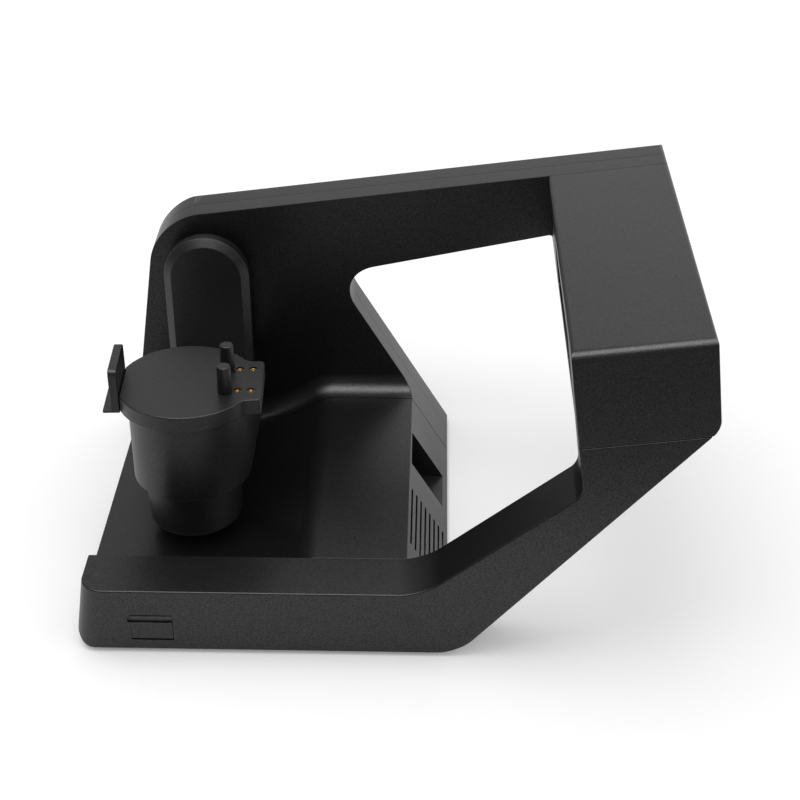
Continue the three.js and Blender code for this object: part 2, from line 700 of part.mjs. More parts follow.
function makeBase() {
  const skin = alongY(baseOutline, BASE_FRONT_Y, BASE_BACK_Y);
  const cavity = alongY(inset(baseOutline, WALL), BASE_FRONT_Y + WALL, BASE_BACK_Y - WALL);
  const openX0 = LEFT_FOOT_X + BASE_OPENING_MARGIN;
  const openX1 = SLANT_FOOT_X - BASE_OPENING_MARGIN;
  const openY0 = BASE_FRONT_Y + WALL;
  const openY1 = BASE_BACK_Y - WALL;
  const opening = block(openX0, openX1, openY0, openY1, -OVERRUN, WALL + FIT);
  const bayTop = crossing(slantLine, lineAt(RECESS_X, 0, 90));
  const bay = [corner(RECESS_X, RECESS_Z), corner(OUT, RECESS_Z), corner(OUT, OUT), corner(RECESS_X, OUT)];
  const pocketEnd = RECESS_Y + RECESS_LENGTH;
  const pocket = alongY(bay, RECESS_Y, pocketEnd);
  const liner = common(
    block(RECESS_X - WALL, OUT, RECESS_Y - WALL, pocketEnd + WALL, RECESS_Z - WALL, bayTop.z + WALL),
    skin,
  );
  const bosses = bossSpots.map(([x, y]) => {
    const tube = rod('z', x, y, FLOOR_TOP + FIT, BOSS_R, FLOOR_Z - WALL / 2 - FLOOR_TOP - FIT, SMALL_SIDES);
    const raise = rod('z', x, y, FLOOR_TOP + FIT, BOSS_R, RAIL_HEIGHT - WALL / 2 - FLOOR_TOP, SMALL_SIDES);
    return common(x > SWING_X ? raise : tube, skin);
  });
  const boreR = SCREW_R + SCREW_CLEARANCE;
  const bores = bossSpots.map(([x, y]) => rod('z', x, y, 0, boreR, FLOOR_TOP + SCREW_LENGTH, SMALL_SIDES));
  const slits = [];
  for (let i = 0; i < SLIT_COUNT; i++) {
    const x = SLIT_X + i * SLIT_PITCH;
    const z = crossing(slantLine, lineAt(x, 0, 90)).z;
    const [x0, x1] = [x - SLIT_WIDTH / 2, x + SLIT_WIDTH / 2];
    slits.push(block(x0, x1, SLIT_Y, SLIT_Y + SLIT_LENGTH, z - 3 * WALL, z + 2 * WALL));
  }
  const y0 = RECESS_Y + RECESS_LENGTH / 4;
  const y1 = RECESS_Y + 3 * RECESS_LENGTH / 4;
  const z = RECESS_Z + INLET_SIZE;
  const inletHalf = INLET_SIZE / 2 + FIT;
  const inletHole = block(
    RECESS_X - 2 * WALL, RECESS_X + WALL,
    y0 - inletHalf, y0 + inletHalf, z - inletHalf, z + inletHalf,
  );
  const socketHole = block(
    RECESS_X - 2 * WALL, RECESS_X + WALL,
    y1 - SOCKET_WIDTH / 2 - FIT, y1 + SOCKET_WIDTH / 2 + FIT,
    z - SOCKET_HEIGHT / 2 - FIT, z + SOCKET_HEIGHT / 2 + FIT,
  );
  const shell = joined(cut(skin, cavity), liner, ...bosses);
  place(
    scanner, 'base_housing', cut(shell, pocket, opening, inletHole, socketHole, ...slits, ...bores), MOULDED,
  );
  const plate = block(openX0 + FIT, openX1 - FIT, openY0 + FIT, openY1 - FIT, PLATE_Z, FLOOR_TOP);
  const plateHoles = bossSpots.map(([x, y]) => rod('z', x, y, -OVERRUN, boreR, 3 * OVERRUN, SMALL_SIDES));
  const standoffs = [...boardCorners(MAIN_BOARD), ...boardCorners(powerBoard)].map(([x, y]) => (
    rod(
      'z', x, y, PLATE_Z + PLATE_THICKNESS / 2, STANDOFF_R,
      PLATE_THICKNESS / 2 + STANDOFF_HEIGHT, SMALL_SIDES,
    )
  ));
  place(scanner, 'base_plate', cut(joined(plate, ...standoffs), ...plateHoles), PLAIN_STEEL);
  makeInlet(y0, z);
  place(scanner, 'data_socket', socketBody(RECESS_X - SOCKET_LENGTH, y1, z), PLAIN_STEEL);
}

function makeInlet(y, z) {
  const half = INLET_SIZE / 2;
  const body = block(RECESS_X - INLET_LENGTH, RECESS_X, y - half, y + half, z - half, z + half);
  const bore = rod('x', RECESS_X - INLET_LENGTH + WALL, y, z, INLET_BORE_R, INLET_LENGTH, SMALL_SIDES);
  const pin = rod(
    'x', RECESS_X - INLET_LENGTH + WALL / 2, y, z, INLET_PIN_R, INLET_LENGTH - WALL, SMALL_SIDES,
  );
  place(scanner, 'dc_inlet', joined(cut(body, bore), pin), SOFT_RUBBER);
}

function socketBody(x, y, z) {
  const halfW = SOCKET_WIDTH / 2;
  const halfH = SOCKET_HEIGHT / 2;
  const end = x + SOCKET_LENGTH;
  const body = block(x, end, y - halfW, y + halfW, z - halfH, z + halfH);
  const mouthW = halfW - SOCKET_SKIN;
  const mouthH = halfH - SOCKET_SKIN;
  const mouth = block(
    end - SOCKET_BORE_DEPTH, end + OVERRUN, y - mouthW, y + mouthW, z - mouthH, z + mouthH,
  );
  const tongueW = mouthW - 2 * SOCKET_SKIN;
  const tongueH = SOCKET_TONGUE / 2;
  const tongue = block(
    x + SOCKET_SKIN, end - SOCKET_SKIN, y - tongueW, y + tongueW, z - tongueH, z + tongueH,
  );
  return joined(cut(body, mouth), tongue);
}

// Upright wall: front shell with the cove, and rear shell
const rearScrewSpots = [
  [LEFT_FOOT_X + 3 * BASE_OPENING_MARGIN, WALL / 2 + BOSS_R],
  [SLANT_FOOT_X - 3 * BASE_OPENING_MARGIN, WALL / 2 + BOSS_R],
  [SWING_X + 3 * HIGH_CORNER_R / 2, TOP_AT_DATUM - 2 * BASE_OPENING_MARGIN],
  [HEAD_X + HEAD_WIDTH - BASE_OPENING_MARGIN, TOP_AT_DATUM],
];

function makeWall() {
  const front = alongY(wallOutline, WALL_FRONT_Y, SHELL_SEAM_Y - SEAM / 2);
  const skirt = alongY(baseOutline, COVE_TOE_Y, WALL_FRONT_Y + WALL / 2);
  const cove = common(coveSweep(), alongY(wallOutline, COVE_TOE_Y, SHELL_SEAM_Y));
  const cavity = alongY(inset(wallOutline, WALL), WALL_INNER_Y, SHELL_SEAM_Y + OVERRUN);
  const skirtCavity = alongY(inset(baseOutline, WALL), COVE_TOE_Y + WALL, WALL_INNER_Y + OVERRUN);
  const bossEnd = SHELL_SEAM_Y - SEAM / 2;
  const boreR = SCREW_R + SCREW_CLEARANCE;
  const bosses = rearScrewSpots.map(([x, z]) => {
    const root = WALL_INNER_Y - WALL / 2;
    const tube = rod('y', x, root, z, BOSS_R, bossEnd - root, SMALL_SIDES);
    return cut(tube, rod('y', x, bossEnd - SCREW_LENGTH, z, boreR, 2 * SCREW_LENGTH, SMALL_SIDES));
  });
  const axleHole = rod('y', SWING_X, COVE_TOE_Y, SWING_Z, AXLE_R + WALL / 2, COVE_R + 2 * WALL, PLAIN_SIDES);
  const headMid = crossing(shifted(headLeftLine, -HEAD_WIDTH / 2), shifted(topLine, -HEAD_HEIGHT / 2));
  const headPort = rod('y', headMid.x, COVE_TOE_Y, headMid.z, PORT_R, COVE_R + 2 * WALL, PLAIN_SIDES);
  const shell = joined(cut(joined(front, skirt, cove), cavity, skirtCavity), ...bosses);
  place(scanner, 'wall_front_shell', cut(shell, axleHole, headPort), MOULDED);

  const backEdge = alongX([
    corner(SHELL_SEAM_Y, -OUT), corner(DEPTH, -OUT), corner(DEPTH, 0, BACK_EDGE_R), corner(SHELL_SEAM_Y, 0),
  ], -OUT, OUT).rotate([0, -TILT, 0]).translate([0, 0, TOP_AT_DATUM]);
  const rear = common(alongY(wallOutline, SHELL_SEAM_Y + SEAM / 2, DEPTH), backEdge);
  const rearCavity = alongY(inset(wallOutline, WALL), SHELL_SEAM_Y - OVERRUN, BACK_INNER_Y);
  const seat = bossEnd + SEAM;
  const sleeveLength = BACK_INNER_Y - seat + WALL / 2;
  const sleeves = rearScrewSpots.map(([x, z]) => rod('y', x, seat, z, BOSS_R, sleeveLength, SMALL_SIDES));
  const drills = rearScrewSpots.map(([x, z]) => joined(
    rod('y', x, seat - OVERRUN, z, SCREW_R + SCREW_CLEARANCE, 2 * OVERRUN, SMALL_SIDES),
    rod('y', x, seat + WALL, z, SCREW_HEAD_R + SCREW_CLEARANCE, REAR_SHELL_DEPTH, SMALL_SIDES),
  ));
  const halfW = SWITCH_WIDTH / 2;
  const halfH = SWITCH_HEIGHT / 2;
  const rimSeat = block(
    SWITCH_X - halfW - FIT, SWITCH_X + halfW + FIT, DEPTH - SWITCH_RIM, DEPTH + OVERRUN,
    SWITCH_Z - halfH - FIT, SWITCH_Z + halfH + FIT,
  );
  const bodyHole = block(
    SWITCH_X - halfW + SWITCH_RIM - FIT, SWITCH_X + halfW - SWITCH_RIM + FIT, BACK_INNER_Y - OVERRUN, DEPTH,
    SWITCH_Z - halfH + SWITCH_RIM - FIT, SWITCH_Z + halfH - SWITCH_RIM + FIT,
  );
  const rearShell = cut(joined(cut(rear, rearCavity), ...sleeves), ...drills, rimSeat, bodyHole);
  place(scanner, 'wall_rear_shell', rearShell, MOULDED);
}

// Rocker switch; its rocker turns on an axis parallel to X
const ROCKER_Y = DEPTH - Math.hypot(ROCKER_FACE, ROCKER_HALF_HEIGHT) * Math.sin(
  rad(ROCKER_REST) + Math.atan2(ROCKER_FACE, ROCKER_HALF_HEIGHT),
);

function makeSwitch() {
  const halfW = SWITCH_WIDTH / 2;
  const halfH = SWITCH_HEIGHT / 2;
  const rimY = DEPTH - SWITCH_RIM + SEAM;
  const rim = block(SWITCH_X - halfW, SWITCH_X + halfW, rimY, DEPTH, SWITCH_Z - halfH, SWITCH_Z + halfH);
  const inner = SWITCH_RIM;
  const body = block(
    SWITCH_X - halfW + inner, SWITCH_X + halfW - inner, DEPTH - SWITCH_BODY_LENGTH, DEPTH - SWITCH_RIM / 2,
    SWITCH_Z - halfH + inner, SWITCH_Z + halfH - inner,
  );
  const roomW = ROCKER_WIDTH / 2 + FIT;
  const rest = rad(ROCKER_REST);
  const roomH = ROCKER_HALF_HEIGHT * Math.cos(rest) + ROCKER_FACE * Math.sin(rest) + FIT;
  const room = block(
    SWITCH_X - roomW, SWITCH_X + roomW, ROCKER_Y - ROCKER_DIP,
    DEPTH + OVERRUN, SWITCH_Z - roomH, SWITCH_Z + roomH,
  );
  place(scanner, 'switch_frame', cut(joined(rim, body), room), SOFT_RUBBER);
  const rocker = group(scanner, SWITCH_X, ROCKER_Y, SWITCH_Z);
  rocker.rotation.x = -rad(ROCKER_REST);
  const profile = [
    corner(0, -ROCKER_HALF_HEIGHT / 4), corner(ROCKER_FACE / 5, -ROCKER_HALF_HEIGHT),
    corner(ROCKER_FACE, -ROCKER_HALF_HEIGHT), corner(ROCKER_DIP, 0), corner(ROCKER_FACE, ROCKER_HALF_HEIGHT),
    corner(ROCKER_FACE / 5, ROCKER_HALF_HEIGHT),
    corner(0, ROCKER_HALF_HEIGHT / 4),
  ];
  place(rocker, 'switch_rocker', alongX(profile, -ROCKER_WIDTH / 2, ROCKER_WIDTH / 2), SOFT_RUBBER);
}

// Head, in its own tilted axes: x across, z down from the top face
const HEAD_END_Y = WALL_FRONT_Y - SEAM;
const HEAD_MID_Y = COLUMN_Y;

function makeHead() {
  const head = group(scanner, headCorner.x, 0, headCorner.z);
  head.rotation.y = -rad(TILT);
  const floor = -HEAD_HEIGHT + SEAM;
  const deep = floor - 2 * OVERRUN;
  const folded = (outline, gap, y1) => common(
    alongY(outline, gap, y1),
    alongX([
      corner(gap, deep), corner(DEPTH, deep), corner(DEPTH, -gap), corner(gap, -gap, FOLD_R - gap),
    ], 0, HEAD_WIDTH),
  );
  const full = folded(headOutline(floor), 0, HEAD_END_Y);
  const cavity = folded(inset(headOutline(deep), WALL), WALL, HEAD_END_Y + OVERRUN);
  const y0 = HEAD_MID_Y - OPTICS_OPENING_LENGTH / 2;
  const y1 = HEAD_MID_Y + OPTICS_OPENING_LENGTH / 2;
  const opening = alongX(
    rectangle(y0, y1, -OPTICS_OPENING_LOW, -OPTICS_OPENING_HIGH, EDGE_R), -OVERRUN, 2 * WALL,
  );
  const boardY0 = HEAD_MID_Y - HEAD_BOARD_LENGTH / 2;
  const boardLow = -HEAD_HEIGHT / 2 - HEAD_BOARD_HEIGHT / 2;
  const inner = HEAD_WIDTH - WALL;
  const bosses = [boardY0 + BOSS_R, boardY0 + HEAD_BOARD_LENGTH - BOSS_R].map((y) => (
    rod('x', inner - HEAD_BOSS_LENGTH, y, -HEAD_HEIGHT / 2, BOSS_R, HEAD_BOSS_LENGTH + WALL / 2, SMALL_SIDES)
  ));
  const lidBosses = [];
  const lidBores = [];
  const lidY0 = RAIL_DEPTH + SEAM;
  const lidTop = floor + WALL + FIT;
  for (const [x, end] of [[WALL / 2 + BOSS_R, 0], [HEAD_WIDTH - 3 * BOSS_R, HEAD_WIDTH]]) {
    for (const y of [lidY0 + BOSS_R, HEAD_END_Y - 2 * BOSS_R]) {
      const [x0, x1] = [Math.min(x, end), Math.max(x, end)];
      lidBosses.push(rod('z', x, y, lidTop, BOSS_R, HEAD_BOSS_LENGTH, SMALL_SIDES));
      lidBosses.push(block(x0, x1, y - WALL / 2, y + WALL / 2, lidTop, lidTop + HEAD_BOSS_LENGTH));
      const boreR = SCREW_R + SCREW_CLEARANCE;
      lidBores.push(rod('z', x, y, floor - OVERRUN, boreR, SCREW_LENGTH + OVERRUN + WALL, SMALL_SIDES));
    }
  }
  const ribs = lidBosses.map((boss) => common(boss, full));
  place(
    head, 'head_cover', cut(joined(cut(full, cavity), ...bosses, ...ribs), opening, ...lidBores), MOULDED,
  );

  const lid = common(
    block(WALL + FIT, HEAD_WIDTH, lidY0, HEAD_END_Y - FIT, floor, floor + WALL),
    alongY(inset(headOutline(deep), WALL + FIT), 0, HEAD_END_Y),
  );
  place(head, 'head_bottom_cover', cut(lid, ...lidBores), MOULDED);

  const paneX = WALL + FIT;
  const pane = block(
    paneX, paneX + PANE_THICKNESS, y0 - PANE_MARGIN, y1 + PANE_MARGIN,
    -OPTICS_OPENING_LOW - PANE_MARGIN / 2, -OPTICS_OPENING_HIGH + PANE_MARGIN,
  );
  place(head, 'optics_window', pane, DARK_GLASS);
  makeOptics(head, floor);
  const boardX = inner - HEAD_BOSS_LENGTH - FIT - BOARD_THICKNESS;
  const board = block(
    boardX, boardX + BOARD_THICKNESS,
    boardY0, boardY0 + HEAD_BOARD_LENGTH, boardLow, boardLow + HEAD_BOARD_HEIGHT,
  );
  const chipHalf = HEAD_BOARD_HEIGHT / 3;
  const chip = block(
    boardX - BOARD_THICKNESS, boardX + BOARD_THICKNESS / 2, HEAD_MID_Y - chipHalf, HEAD_MID_Y + chipHalf,
    boardLow + HEAD_BOARD_HEIGHT / 4, boardLow + 3 * HEAD_BOARD_HEIGHT / 4,
  );
  place(head, 'head_board', joined(board, chip), BOARD_GREEN);
}

function makeOptics(head, floor) {
  const y0 = SHELF_FRONT_GAP;
  const y1 = HEAD_END_Y - SHELF_END_GAP;
  const shelfX1 = SHELF_X + SHELF_WIDTH;
  const shelfTop = -SHELF_DROP + SHELF_THICKNESS;
  const posts = [];
  for (const x of [SHELF_X + 2 * SHELF_POST_R, shelfX1 - 2 * SHELF_POST_R]) {
    for (const y of [RAIL_DEPTH + 3 * SHELF_POST_R, y1 - 2 * SHELF_POST_R]) {
      const base = floor + WALL + FIT;
      posts.push(rod('z', x, y, base, SHELF_POST_R, -SHELF_DROP - base + SHELF_THICKNESS / 2, SMALL_SIDES));
    }
  }
  const bracket = joined(
    block(SHELF_X, shelfX1, y0, y1, -SHELF_DROP, shelfTop),
    block(shelfX1 - SHELF_THICKNESS, shelfX1, y0, y1, -SHELF_DROP, shelfTop + WEB_HEIGHT),
    ...posts,
  );
  place(head, 'optics_bracket', bracket, ALUMINIUM);

  const seat = shelfTop + FIT;
  const lensX = PROJECTOR_X - LENS_LENGTH;
  const halfP = PROJECTOR_WIDTH / 2;
  const projectorX1 = PROJECTOR_X + PROJECTOR_LENGTH;
  const projectorTop = seat + PROJECTOR_HEIGHT;
  const body = block(PROJECTOR_X, projectorX1, HEAD_MID_Y - halfP, HEAD_MID_Y + halfP, seat, projectorTop);
  const projector = group(head, 0, 0, 0);
  place(projector, 'projector_body', body, BLACK_STEEL);
  const projectorZ = seat + PROJECTOR_HEIGHT / 2;
  place(projector, 'projector_lens', lens(lensX, HEAD_MID_Y, projectorZ), DARK_GLASS);
  for (const [name, side] of [['front', -1], ['rear', 1]]) {
    const camera = group(head, CAMERA_X, HEAD_MID_Y + side * CAMERA_SPACING / 2, seat);
    camera.rotation.z = side * rad(CAMERA_TOE_IN);
    const half = CAMERA_SIZE / 2;
    place(camera, `${name}_camera`, block(0, CAMERA_LENGTH, -half, half, 0, CAMERA_SIZE), BLACK_STEEL);
    place(camera, `${name}_camera_lens`, lens(-LENS_LENGTH, 0, half), LENS_GLASS);
  }
}

// Lens barrel in front of the plane x + LENS_LENGTH, with its glass set back in the rim
function lens(x, y, z) {
  const barrel = rod('x', x + LENS_LENGTH / 2, y, z, LENS_R, LENS_LENGTH / 2 - FIT);
  const rim = rod('x', x, y, z, LENS_RIM_R, LENS_LENGTH / 2 + FIT);
  const dish = rod('x', x - OVERRUN, y, z, LENS_GLASS_R, OVERRUN + LENS_GLASS_SINK);
  return cut(joined(barrel, rim), dish);
}

// Swing drive: axle in two bearings, driven pulley, belt, motor pulley, motor and bracket
const ARM_BACK_Y = WALL_FRONT_Y - ARM_WALL_GAP;
const ARM_FRONT_Y = ARM_BACK_Y - ARM_THICKNESS;
const ARM_PLATE_Y = ARM_BACK_Y - ARM_PLATE_THICKNESS - FIT;
const PULLEY_Y = BACK_INNER_Y - FIT - PULLEY_WIDTH;
const BLOCK_Y = WALL_INNER_Y + FIT;
const MOTOR_PULLEY_R = PULLEY_R / PULLEY_RATIO;

function makeSwingDrive(arm) {
  const flange = rod('y', SWING_X, BLOCK_Y, SWING_Z, BLOCK_FLANGE_R, BLOCK_FLANGE_THICKNESS, FINE_SIDES);
  const hub = rod('y', SWING_X, BLOCK_Y, SWING_Z, BLOCK_R, BLOCK_LENGTH);
  const boreR = BEARING_R + FIT / 2;
  const bore = rod('y', SWING_X, BLOCK_Y - OVERRUN, SWING_Z, boreR, BLOCK_LENGTH + 2 * OVERRUN);
  place(scanner, 'bearing_block', cut(joined(flange, hub), bore), ALUMINIUM);
  for (const [name, y] of [['front', BLOCK_Y], ['rear', BLOCK_Y + BLOCK_LENGTH - BEARING_WIDTH]]) {
    const bearing = ring('y', SWING_X, y, SWING_Z, BEARING_R, AXLE_R + FIT / 2, BEARING_WIDTH);
    place(scanner, `${name}_swing_bearing`, bearing, PLAIN_STEEL);
  }
  const headY = ARM_PLATE_Y - AXLE_HEAD_LENGTH - FIT;
  const axle = joined(
    rod('y', 0, headY, 0, AXLE_HEAD_R, AXLE_HEAD_LENGTH),
    rod('y', 0, headY, 0, AXLE_R, BACK_INNER_Y - FIT - headY),
  );
  place(arm, 'swing_axle', axle, PLAIN_STEEL);
  place(
    arm, 'swing_pulley',
    ring('y', 0, PULLEY_Y, 0, PULLEY_R, AXLE_R + FIT / 2, PULLEY_WIDTH, FINE_SIDES), ALUMINIUM,
  );

  const motorX = SWING_X + DRIVE_DX;
  const motorZ = SWING_Z + DRIVE_DZ;
  const half = MOTOR_SIDE / 2;
  const motorEnd = BLOCK_Y + SWING_MOTOR_LENGTH;
  const motorOutline = rectangle(motorX - half, motorX + half, motorZ - half, motorZ + half, MOTOR_CORNER_R);
  place(scanner, 'swing_motor', alongY(motorOutline, BLOCK_Y, motorEnd), MOTOR_BODY);
  const pulley = group(scanner, motorX, 0, motorZ);
  const pinion = joined(
    rod('y', 0, PULLEY_Y, 0, MOTOR_PULLEY_R, PULLEY_WIDTH),
    rod('y', 0, motorEnd + FIT, 0, MOTOR_SHAFT_R, PULLEY_Y - motorEnd, SMALL_SIDES),
  );
  place(pulley, 'swing_motor_pulley', pinion, BRASS);
  const plateY = motorEnd + FIT;
  const span = BRACKET_POST_SPACING / 2;
  const reach = span + BRACKET_POST_R;
  const plateOutline = rectangle(
    motorX - reach, motorX + reach, motorZ - half / 2, motorZ + half / 2, EDGE_R,
  );
  const plate = alongY(plateOutline, plateY, plateY + BRACKET_THICKNESS);
  const postLength = plateY - BLOCK_Y + BRACKET_THICKNESS / 2;
  const posts = [-1, 1].map((side) => (
    rod('y', motorX + side * span, BLOCK_Y, motorZ, BRACKET_POST_R, postLength, SMALL_SIDES)
  ));
  const shaftHole = rod(
    'y', motorX, plateY - OVERRUN, motorZ, MOTOR_SHAFT_R + 2 * FIT, 2 * OVERRUN, SMALL_SIDES,
  );
  place(scanner, 'swing_motor_bracket', cut(joined(plate, ...posts), shaftHole), PLAIN_STEEL);
  place(scanner, 'swing_belt', beltLoop(), SOFT_RUBBER);
  const sensorZ = SWING_Z + SENSOR_RISE;
  const sensorHalf = SENSOR_SIZE / 2;
  const sensor = cut(
    block(
      SWING_X - sensorHalf, SWING_X + sensorHalf, BLOCK_Y, BLOCK_Y + SENSOR_LENGTH,
      sensorZ - sensorHalf, sensorZ + sensorHalf,
    ),
    block(
      SWING_X - sensorHalf / 3, SWING_X + sensorHalf / 3,
      BLOCK_Y + SENSOR_LENGTH / 2, BLOCK_Y + SENSOR_LENGTH + OVERRUN,
      sensorZ - SENSOR_SIZE, sensorZ + SENSOR_SIZE,
    ),
  );
  place(scanner, 'swing_sensor', sensor, SOFT_RUBBER);
}

// Belt round both pulleys: the hull of two circles, less the same hull one thickness smaller
function beltLoop() {
  const span = Math.hypot(DRIVE_DX, DRIVE_DZ);
  const bearingAngle = Math.atan2(DRIVE_DZ, DRIVE_DX);
  const lean = THREE.MathUtils.radToDeg(Math.asin((PULLEY_R - MOTOR_PULLEY_R) / span));
  const hull = (gap) => {
    const points = [];
    const arcs = [
      { x: SWING_X, z: SWING_Z, r: PULLEY_R + gap, from: 90 - lean, sweep: 180 + 2 * lean },
      {
        x: SWING_X + DRIVE_DX, z: SWING_Z + DRIVE_DZ, r: MOTOR_PULLEY_R + gap,
        from: 270 + lean, sweep: 180 - 2 * lean,
      },
    ];
    for (const arc of arcs) {
      const steps = Math.ceil(arc.sweep / ARC_STEP);
      for (let k = 0; k <= steps; k++) {
        const a = bearingAngle + rad(arc.from + arc.sweep * k / steps);
        points.push(corner(arc.x + arc.r * Math.cos(a), arc.z + arc.r * Math.sin(a)));
      }
    }
    return points;
  };
  const y = PULLEY_Y + (PULLEY_WIDTH - BELT_WIDTH) / 2;
  return cut(
    alongY(hull(FIT + BELT_THICKNESS), y, y + BELT_WIDTH),
    alongY(hull(FIT), y - OVERRUN, y + BELT_WIDTH + OVERRUN),
  );
}

// Swing arm: bevelled cover on the wall, steel plate in it, column housing and motor cup
function capsule(r, drop, cornerR) {
  const points = [corner(-r, -drop, cornerR), corner(r, -drop, cornerR)];
  const steps = 180 / ARC_STEP;
  for (let k = 0; k <= steps; k++) {
    const a = rad(k * ARC_STEP);
    points.push(corner(r * Math.cos(a), r * Math.sin(a)));
  }
  return points;
}

function makeArm(arm) {
  const flat = alongY(capsule(ARM_R, COLUMN_BASE_DROP, EDGE_R), ARM_FRONT_Y + ARM_BEVEL_DEPTH, ARM_BACK_Y);
  const steps = BEVEL_STEPS;
  const layers = [flat];
  for (let k = 0; k < steps; k++) {
    const depth0 = ARM_BEVEL_DEPTH * k / steps;
    const depth1 = ARM_BEVEL_DEPTH * (k + 1) / steps;
    const shrink = ARM_BEVEL * (1 - (k + 1) / steps);
    const outline = capsule(ARM_R - shrink, COLUMN_BASE_DROP, EDGE_R);
    layers.push(alongY(outline, ARM_FRONT_Y + depth0, ARM_FRONT_Y + depth1 + FIT));
  }
  const hollow = capsule(ARM_R - WALL - ARM_BEVEL / 4, COLUMN_BASE_DROP - WALL, 0);
  const cavity = alongY(hollow, ARM_FRONT_Y + WALL + ARM_BEVEL_DEPTH / 2, ARM_BACK_Y + OVERRUN);
  const bossSpot = [
    [-ARM_PLATE_R / 2, -ARM_PLATE_R], [ARM_PLATE_R / 2, -ARM_PLATE_R], [0, ARM_PLATE_R * 3 / 4],
  ];
  const bosses = bossSpot.map(([x, z]) => (
    rod('y', x, ARM_FRONT_Y + WALL, z, ARM_BOSS_R, ARM_PLATE_Y - FIT - ARM_FRONT_Y - WALL, SMALL_SIDES)
  ));
  const cableZ = -COLUMN_BASE_DROP + BRIDGE_END_HEIGHT / 2;
  const cableHole = rod(
    'y', 0, ARM_FRONT_Y - OVERRUN, cableZ, BRIDGE_END_HEIGHT / 4, 3 * OVERRUN, SMALL_SIDES,
  );
  place(arm, 'arm_cover', cut(joined(cut(joined(...layers), cavity), ...bosses), cableHole), ARM_PLASTIC);
  const plate = alongY(
    capsule(ARM_PLATE_R, ARM_PLATE_DROP, EDGE_R), ARM_PLATE_Y, ARM_PLATE_Y + ARM_PLATE_THICKNESS,
  );
  const hubEnd = WALL_FRONT_Y - 2 * FIT;
  const hub = rod('y', 0, ARM_PLATE_Y, 0, ARM_HUB_R, hubEnd - ARM_PLATE_Y, FINE_SIDES);
  const plateHole = rod(
    'y', 0, ARM_PLATE_Y - OVERRUN, 0, AXLE_R + FIT / 2, hubEnd - ARM_PLATE_Y + 2 * OVERRUN,
  );
  place(arm, 'arm_plate', cut(joined(plate, hub), plateHole), PLAIN_STEEL);

  const housing = (gap) => {
    const low = -COLUMN_BASE_DROP + gap;
    const high = -COLUMN_TOP_DROP - gap;
    const r = COLUMN_R - gap;
    const bridgeY = ARM_FRONT_Y - SEAM - gap;
    const straightY = COLUMN_Y + BRIDGE_STRAIGHT;
    const drum = rod('z', 0, COLUMN_Y, low, r, high - low, FINE_SIDES);
    const plan = alongZ([
      corner(-r, COLUMN_Y), corner(r, COLUMN_Y), corner(r, straightY), corner(ARM_R - gap, bridgeY),
      corner(-ARM_R + gap, bridgeY), corner(-r, straightY),
    ], low, high);
    const side = alongX([
      corner(COLUMN_Y, low), corner(bridgeY, low), corner(
        bridgeY, -COLUMN_BASE_DROP + BRIDGE_END_HEIGHT - gap,
      ),
      corner(COLUMN_Y + BRIDGE_TOP_RUN, high), corner(COLUMN_Y, high),
    ], -COLUMN_R, COLUMN_R);
    return joined(drum, common(plan, side));
  };
  const topHole = rod('z', 0, COLUMN_Y, -COLUMN_TOP_DROP - OVERRUN, TABLE_HUB_R + 1.5 * FIT, 2 * OVERRUN);
  const lowHoleR = CUP_R - 2 * WALL;
  const lowHole = rod('z', 0, COLUMN_Y, -COLUMN_BASE_DROP - OVERRUN, lowHoleR, 2 * OVERRUN, FINE_SIDES);
  place(arm, 'column_housing', cut(housing(0), housing(WALL), topHole, lowHole), ARM_PLASTIC);

  const cupBase = -COLUMN_BASE_DROP - SEAM - CUP_HEIGHT;
  const cupProfile = [[0, 0], [CUP_R - CUP_EDGE_R, 0]];
  for (let k = 1; k <= BEVEL_STEPS; k++) {
    const a = rad(90 * k / BEVEL_STEPS);
    cupProfile.push([CUP_R - CUP_EDGE_R + CUP_EDGE_R * Math.sin(a), CUP_EDGE_R * (1 - Math.cos(a))]);
  }
  const inner = CUP_R - WALL;
  cupProfile.push([CUP_TOP_R, CUP_HEIGHT], [CUP_TOP_R - WALL, CUP_HEIGHT], [inner, WALL + CUP_EDGE_R / 2]);
  cupProfile.push([inner - CUP_EDGE_R / 2, WALL], [0, WALL]);
  const cup = new THREE.LatheGeometry(cupProfile.map(([r, h]) => new THREE.Vector2(r, h)), FINE_SIDES);
  cup.rotateX(Math.PI / 2);
  cup.translate(0, COLUMN_Y, cupBase);
  place(arm, 'motor_cup', solid(cup), ARM_PLASTIC);

  const motorBase = cupBase + WALL + FIT;
  const half = MOTOR_SIDE / 2;
  const motorTop = motorBase + TABLE_MOTOR_LENGTH;
  const outline = rectangle(-half, half, COLUMN_Y - half, COLUMN_Y + half, MOTOR_CORNER_R);
  place(arm, 'table_motor', alongZ(outline, motorBase, motorTop), MOTOR_BODY);
  const ceiling = -COLUMN_TOP_DROP - WALL - FIT;
  const flangeZ = ceiling - SPINDLE_FLANGE_THICKNESS;
  const tubeZ = ceiling - SPINDLE_LENGTH;
  const tube = joined(
    rod('z', 0, COLUMN_Y, flangeZ, SPINDLE_FLANGE_R, SPINDLE_FLANGE_THICKNESS, FINE_SIDES),
    rod('z', 0, COLUMN_Y, tubeZ, SPINDLE_R, SPINDLE_LENGTH),
  );
  const tubeBore = rod('z', 0, COLUMN_Y, tubeZ - OVERRUN, BEARING_R + FIT / 2, SPINDLE_LENGTH + 2 * OVERRUN);
  place(arm, 'spindle_tube', cut(tube, tubeBore), ALUMINIUM);
  for (const [name, z] of [['lower', tubeZ], ['upper', ceiling - TABLE_BEARING_WIDTH]]) {
    const bearing = ring('z', 0, COLUMN_Y, z, BEARING_R, TABLE_SHAFT_R + FIT / 2, TABLE_BEARING_WIDTH);
    place(arm, `${name}_table_bearing`, bearing, PLAIN_STEEL);
  }
  return motorTop;
}

